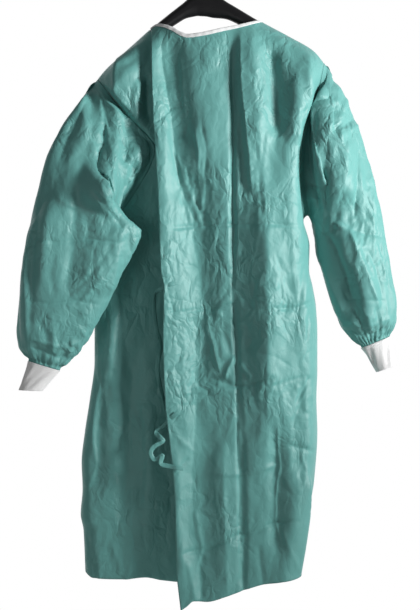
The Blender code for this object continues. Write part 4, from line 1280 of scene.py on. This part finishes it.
def tape_sections(edge, inside, outside, width):
    """A folded tape over a neck edge, as a rounded U seen from its end."""
    edge = np.asarray(edge, float)
    down = unit(inside - edge)
    out = unit(outside)
    reach = reach_along(edge)
    pucker = 0.22 * np.sin(reach / 2.6) + 0.15 * np.sin(reach / 6.1 + 1)
    rows = []
    for far, off in (
        (width, 1.0), (width - 0.8, 1.5), (width * 0.66, 1.65), (width * 0.33, 1.75), (0.6, 1.6),
        (-0.5, 0.9), (-0.9, 0.0), (-0.5, -0.8), (0.8, -1.2), (2.4, -1.2),
    ):
        lift = off + (pucker if off > 1.2 else 0.3 * pucker)
        rows.append(edge + down * far + out * np.reshape(lift, (-1, 1)))
    return np.array(rows)


def stitches(name, line, out, paint, length=2.2, gap=1.2, size=0.34):
    """A row of short raised threads along a line of points."""
    shape = bmesh.new()
    reach = reach_along(line)
    starts = np.arange(gap, reach[-1] - length, length + gap)
    for start in starts:
        ends = [
            np.array([np.interp(start + s * length, reach, line[:, k]) for k in range(3)])
            for s in (0.0, 0.3, 0.7, 1.0)
        ]
        rise = np.array([np.interp(start, reach, out[:, k]) for k in range(3)])
        along = ends[-1] - ends[0]
        side = np.cross(along, rise)
        side /= max(np.linalg.norm(side), 1e-9)
        rings = []
        for end, up in zip(ends, (-0.05, 0.3, 0.3, -0.05)):
            ring = []
            for k in range(6):
                angle = math.pi * k / 3
                spot = end + rise * (up + size * math.sin(angle)) + side * size * math.cos(angle)
                ring.append(shape.verts.new(Vector(spot.tolist()) * MM))
            rings.append(ring)
        for a, b in zip(rings, rings[1:]):
            for k in range(6):
                shape.faces.new((a[k], b[k], b[(k + 1) % 6], a[(k + 1) % 6]))
        shape.faces.new(rings[0])
        shape.faces.new(rings[-1][::-1])
    bmesh.ops.recalc_face_normals(shape, faces=shape.faces)
    mesh = bpy.data.meshes.new(name)
    shape.to_mesh(mesh)
    shape.free()
    piece = new_piece(name, mesh, paint)
    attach(piece, "root")


def neck_tape(node, edge_xz, depth, sign):
    """One stretch of the neck binding with its row of stitches."""
    x, z = edge_xz[:, 0], edge_xz[:, 1]
    edge = np.stack((x, depth(x, z), z), axis=1)
    slope_x = (depth(x + 1, z) - depth(x - 1, z)) / 2
    slope_z = (depth(x, z + 1) - depth(x, z - 1)) / 2
    out = np.stack((-slope_x, np.ones(len(x)), -slope_z), axis=1) * sign
    ahead = np.gradient(edge, axis=0)
    inward = np.cross(out, ahead)
    inward[inward[:, 2] > 0] *= -1
    inward = unit(inward)
    low_x, low_z = x + 4 * inward[:, 0], z + 4 * inward[:, 2]
    inside = np.stack((low_x, depth(low_x, low_z), low_z), axis=1)
    rows = tape_sections(edge, inside, out, TAPE_WIDTH)
    paint = finish_of("neck_tape", knit, bpy.context.scene.gown_sizes.tape_colour)
    piece = shell(node + "_tape", rows, False, 0.0004, paint)
    place(piece, node, finish="neck_tape")
    thread = finish_of("thread", knit, (0.9, 0.9, 0.9))
    stitches(node + "_stitches", rows[1] + unit(out) * 0.2, unit(out), thread)


def ribbon(node, rows, width, twists):
    """A flat tie on a smooth path that turns about itself as it hangs."""
    keys = np.arange(len(rows))
    steps = np.linspace(0, len(rows) - 1, 260)
    i = np.minimum(steps.astype(int), len(rows) - 2)
    t = (steps - i)[:, None]
    points = np.array([(row.x, row.z, row.behind) for row in rows], float)
    a, b = points[np.maximum(i - 1, 0)], points[i]
    c, d = points[i + 1], points[np.minimum(i + 2, len(rows) - 1)]
    path = between(a, b, c, d, t)
    x, z, behind = path.T
    place_of = np.stack((x, outer_y(x, z) + behind, z), axis=1)
    ahead = unit(np.gradient(place_of, axis=0))
    side = unit(np.cross(ahead, (0, 1, 0)))
    other = np.cross(side, ahead)
    turn = np.interp(steps, keys, twists)[:, None]
    flat_way = side * np.cos(turn) + other * np.sin(turn)
    up = np.cross(flat_way, ahead)
    grid = []
    for share in np.linspace(-0.5, 0.5, 11):
        curl = 0.9 * (2 * share) ** 2 - 0.5 * math.exp(-((share - 0.22) / 0.08) ** 2)
        grid.append(place_of + flat_way * share * width + up * curl)
    piece = shell(node + "_ribbon", np.array(grid), False, 0.0005, cloth_paint())
    place(piece, node, finish="tie_cloth")


class BuildFront(bpy.types.Operator):
    """Builds the front panel, which is the far side in the main view"""

    bl_idname = "gown.front"
    bl_label = "Front"

    def execute(self, context):
        panel(
            "front", front_grid(210, 60, 26), 1, (), FRONT_CREASES, FRONT_CRUMPLES, 21.0,
            front_freedom,
        )
        return {"FINISHED"}


class BuildBack(bpy.types.Operator):
    """Builds the two back panels, the right one lapping over the left"""

    bl_idname = "gown.back"
    bl_label = "Back panels"

    def execute(self, context):
        panel(
            "back_right", outer_grid(330, 84, 32), -1, OUTER_WAVES, OUTER_CREASES, OUTER_CRUMPLES, 4.0,
            outer_freedom,
        )
        panel(
            "back_left", inner_grid(250, 56, 28), -1, INNER_WAVES, INNER_CREASES, INNER_CRUMPLES, 9.0,
            inner_freedom,
        )
        return {"FINISHED"}


class BuildSleeves(bpy.types.Operator):
    """Builds both sleeves from the armholes to the gathered wrists"""

    bl_idname = "gown.sleeves"
    bl_label = "Sleeves"

    def execute(self, context):
        left = armhole_rings(
            LEFT_BACK_ARMHOLE, LEFT_FRONT_ARMHOLE, inner_y, front_y, LEFT_TURN, LEFT_PUSH
        )
        left += [section_ring(row, LEFT_UNDERARM, LEFT_SLEEVE_FOLDS) for row in LEFT_SLEEVE]
        right = armhole_rings(
            RIGHT_BACK_ARMHOLE, RIGHT_FRONT_ARMHOLE, outer_y, front_y, RIGHT_TURN, RIGHT_PUSH
        )
        right += [section_ring(row, RIGHT_UNDERARM, RIGHT_SLEEVE_FOLDS) for row in RIGHT_SLEEVE]
        sleeve(
            "sleeve_left", left, 2.0, LEFT_SLEEVE_WAVES, LEFT_SLEEVE_CREASES, LEFT_SLEEVE_FRONT_CREASES,
            LEFT_SLEEVE_CRUMPLES,
        )
        sleeve(
            "sleeve_right", right, 6.0, RIGHT_SLEEVE_WAVES, RIGHT_SLEEVE_CREASES,
            RIGHT_SLEEVE_FRONT_CREASES, RIGHT_SLEEVE_CRUMPLES,
        )
        return {"FINISHED"}


class BuildCuffs(bpy.types.Operator):
    """Builds the two ribbed knit cuffs"""

    bl_idname = "gown.cuffs"
    bl_label = "Cuffs"

    def execute(self, context):
        cuff("cuff_left", cuff_rings(LEFT_CUFF, LEFT_SLEEVE[-1].middle, -1), 1.0)
        cuff("cuff_right", cuff_rings(RIGHT_CUFF, RIGHT_SLEEVE[-1].middle, 1), 4.0)
        return {"FINISHED"}


class BuildNeckTape(bpy.types.Operator):
    """Builds the white neck binding and its stitches"""

    bl_idname = "gown.neck_tape"
    bl_label = "Neck binding"

    def execute(self, context):
        start, end = FRONT_NECK[0].x, FRONT_NECK[-1].x
        neck_tape("binding_back_right", along_x(BACK_NECK, BACK_NECK[0].x, end - 2), outer_y, -1)
        inner = along_x(BACK_NECK, start + 6, INNER_EDGE[0].x)
        inner[:, 1] = np.minimum(inner[:, 1] - INNER_NECK_DROP, crest(inner[:, 0]) - 0.2)
        neck_tape("binding_back_left", inner, inner_y, -1)
        neck_tape("binding_front", along_x(FRONT_NECK, start + 2, end - 2), front_y, 1)
        return {"FINISHED"}


class BuildTies(bpy.types.Operator):
    """Builds the two ties that hang at the opening"""

    bl_idname = "gown.ties"
    bl_label = "Ties"

    def execute(self, context):
        ribbon(
            "tie_upper", UPPER_TIE, 9.0, (0, 0, 0.3, 1.0, 0.5, 0.2, 0.9, 0.3, 0.1, 0.5, 0.9, 0.2),
        )
        ribbon(
            "tie_lower", LOWER_TIE, 9.5,
            (0, 0.1, 0.3, 0.7, 0.2, 0.1, 0.6, 0.2, 0.1, 0.5, 0.1, 0.5, 0.2, 0.1),
        )
        return {"FINISHED"}


class BuildHanger(bpy.types.Operator):
    """Builds the moulded hanger and gives its hook a steel finish"""

    bl_idname = "gown.hanger"
    bl_label = "Hanger"

    def execute(self, context):
        sides, stations = 40, 180
        x = np.linspace(HANGER[0].x, HANGER[-1].x, stations)
        tall, thick = read(HANGER, "x", "tall", x) / 2, read(HANGER, "x", "thick", x) / 2
        top = crest(x) - SEAT_GAP
        angle = np.linspace(0, 2 * math.pi, sides, endpoint=False)
        round_y, round_z = np.cos(angle), np.sin(angle)
        ribbed = 1 - 0.05 * np.exp(-((round_z / 0.12) ** 2))
        grid = np.stack((
            np.repeat(x[:, None], sides, axis=1),
            thick[:, None] * (round_y * ribbed)[None],
            (top - tall)[:, None] + tall[:, None] * round_z[None],
        ), axis=-1)
        paint = plastic("hanger_plastic", context.scene.gown_sizes.hanger_colour)
        middle = grid.mean(axis=1, keepdims=True)
        tips = []
        for share, push in ((0.02, 4.0), (0.6, 3.2), (0.88, 1.8)):
            for end, way in ((slice(0, 1), -1), (slice(-1, None), 1)):
                tip = middle[end] + (grid[end] - middle[end]) * share
                tip[..., 0] += way * push
                tips.append(tip)
        grid = np.concatenate((*tips[::2], grid, *tips[:0:-2]))
        if np.sum(out_of(grid, True)[90] * (grid[90] - grid[90].mean(axis=0))) < 0:
            grid = grid[:, ::-1]
        piece = shell("hanger_arms", grid, True, 0, paint)
        place(piece, "hanger_body", finish="hanger_plastic")
        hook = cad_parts["hanger_hook"]
        hook.data.materials.clear()
        hook.data.materials.append(steel("hook_steel"))
        return {"FINISHED"}


class BuildStage(bpy.types.Operator):
    """Sets the camera, the lights, the surroundings and a pale floor"""

    bl_idname = "gown.stage"
    bl_label = "Stage"

    def execute(self, context):
        scene, settings = context.scene, context.scene.gown_stage
        camera = bpy.data.objects.new("camera", bpy.data.cameras.new("camera"))
        camera.location = CAMERA_SPOT
        camera.rotation_euler = (math.pi / 2, 0, 0)
        camera.data.sensor_fit = "VERTICAL"
        camera.data.sensor_height = SENSOR_HEIGHT
        camera.data.lens = SENSOR_HEIGHT * SEEN_AT / SEEN_HEIGHT
        scene.collection.objects.link(camera)
        scene.camera = camera
        for name, power, size, spot, aim in (
            ("key_light", settings.key, 0.7, (2.3, -1.12, -0.3), (0.0, 0, -0.4)),
            ("fill_light", settings.fill, 1.4, (-1.6, -2.4, -0.9), (-0.2, 0, -0.7)),
        ):
            light = bpy.data.objects.new(name, bpy.data.lights.new(name, "AREA"))
            light.data.energy = power
            light.data.size = size
            light.data.spread = math.radians(LIGHT_SPREAD)
            light.location = spot
            light.rotation_euler = (Vector(aim) - Vector(spot)).to_track_quat("-Z", "Y").to_euler()
            scene.collection.objects.link(light)
        world = bpy.data.worlds.new("pale_room")
        scene.world = world
        world.use_nodes = True
        tree = world.node_tree
        back = tree.nodes["Background"]
        where = tree.nodes.new("ShaderNodeTexCoord")
        split = tree.nodes.new("ShaderNodeSeparateXYZ")
        tree.links.new(where.outputs["Generated"], split.inputs[0])
        span = {"From_Min": 0.05, "From_Max": 0.85, "To_Min": settings.around, "To_Max": 1.0}
        ranged(tree, split.outputs["Y"], back.inputs["Strength"], **span)
        back.inputs["Color"].default_value = (1.0, 1.0, 1.0, 1.0)
        shape = bmesh.new()
        bmesh.ops.create_circle(shape, cap_ends=True, segments=96, radius=FLOOR_RADIUS)
        mesh = bpy.data.meshes.new("floor")
        shape.to_mesh(mesh)
        shape.free()
        floor = bpy.data.objects.new("floor", mesh)
        floor.location.z = settings.floor
        paint, _, shader = new_material("pale_floor")
        shader.inputs["Base Color"].default_value = (0.82, 0.82, 0.8, 1)
        shader.inputs["Roughness"].default_value = 0.7
        mesh.materials.append(paint)
        scene.collection.objects.link(floor)
        scene.view_settings.view_transform = "Standard"
        return {"FINISHED"}


class GownPanel(bpy.types.Panel):
    """Lists the gown's pieces in the sidebar"""

    bl_idname = "VIEW3D_PT_gown"
    bl_label = "Surgical Gown"
    bl_space_type = "VIEW_3D"
    bl_region_type = "UI"
    bl_category = "Gown"

    def draw(self, context):
        layout = self.layout
        sizes, stage = context.scene.gown_sizes, context.scene.gown_stage
        for name in sizes.__annotations__:
            layout.prop(sizes, name)
        for step in BUILDERS:
            layout.operator(step.bl_idname)
        for name in stage.__annotations__:
            layout.prop(stage, name)


BUILDERS = (
    BuildStage, BuildHanger, BuildFront, BuildBack, BuildSleeves, BuildCuffs, BuildNeckTape, BuildTies,
)
CLASSES = (GownSizes, StageSettings, *BUILDERS, GownPanel)


def register():
    for kind in CLASSES:
        bpy.utils.register_class(kind)
    bpy.types.Scene.gown_sizes = PointerProperty(type=GownSizes)
    bpy.types.Scene.gown_stage = PointerProperty(type=StageSettings)


def unregister():
    del bpy.types.Scene.gown_stage
    del bpy.types.Scene.gown_sizes
    for kind in reversed(CLASSES):
        bpy.utils.unregister_class(kind)


def main():
    register()
    bpy.ops.gown.stage()
    bpy.ops.gown.hanger()
    bpy.ops.gown.front()
    bpy.ops.gown.back()
    bpy.ops.gown.sleeves()
    bpy.ops.gown.cuffs()
    bpy.ops.gown.neck_tape()
    bpy.ops.gown.ties()


if __name__ == "__main__":
    main()
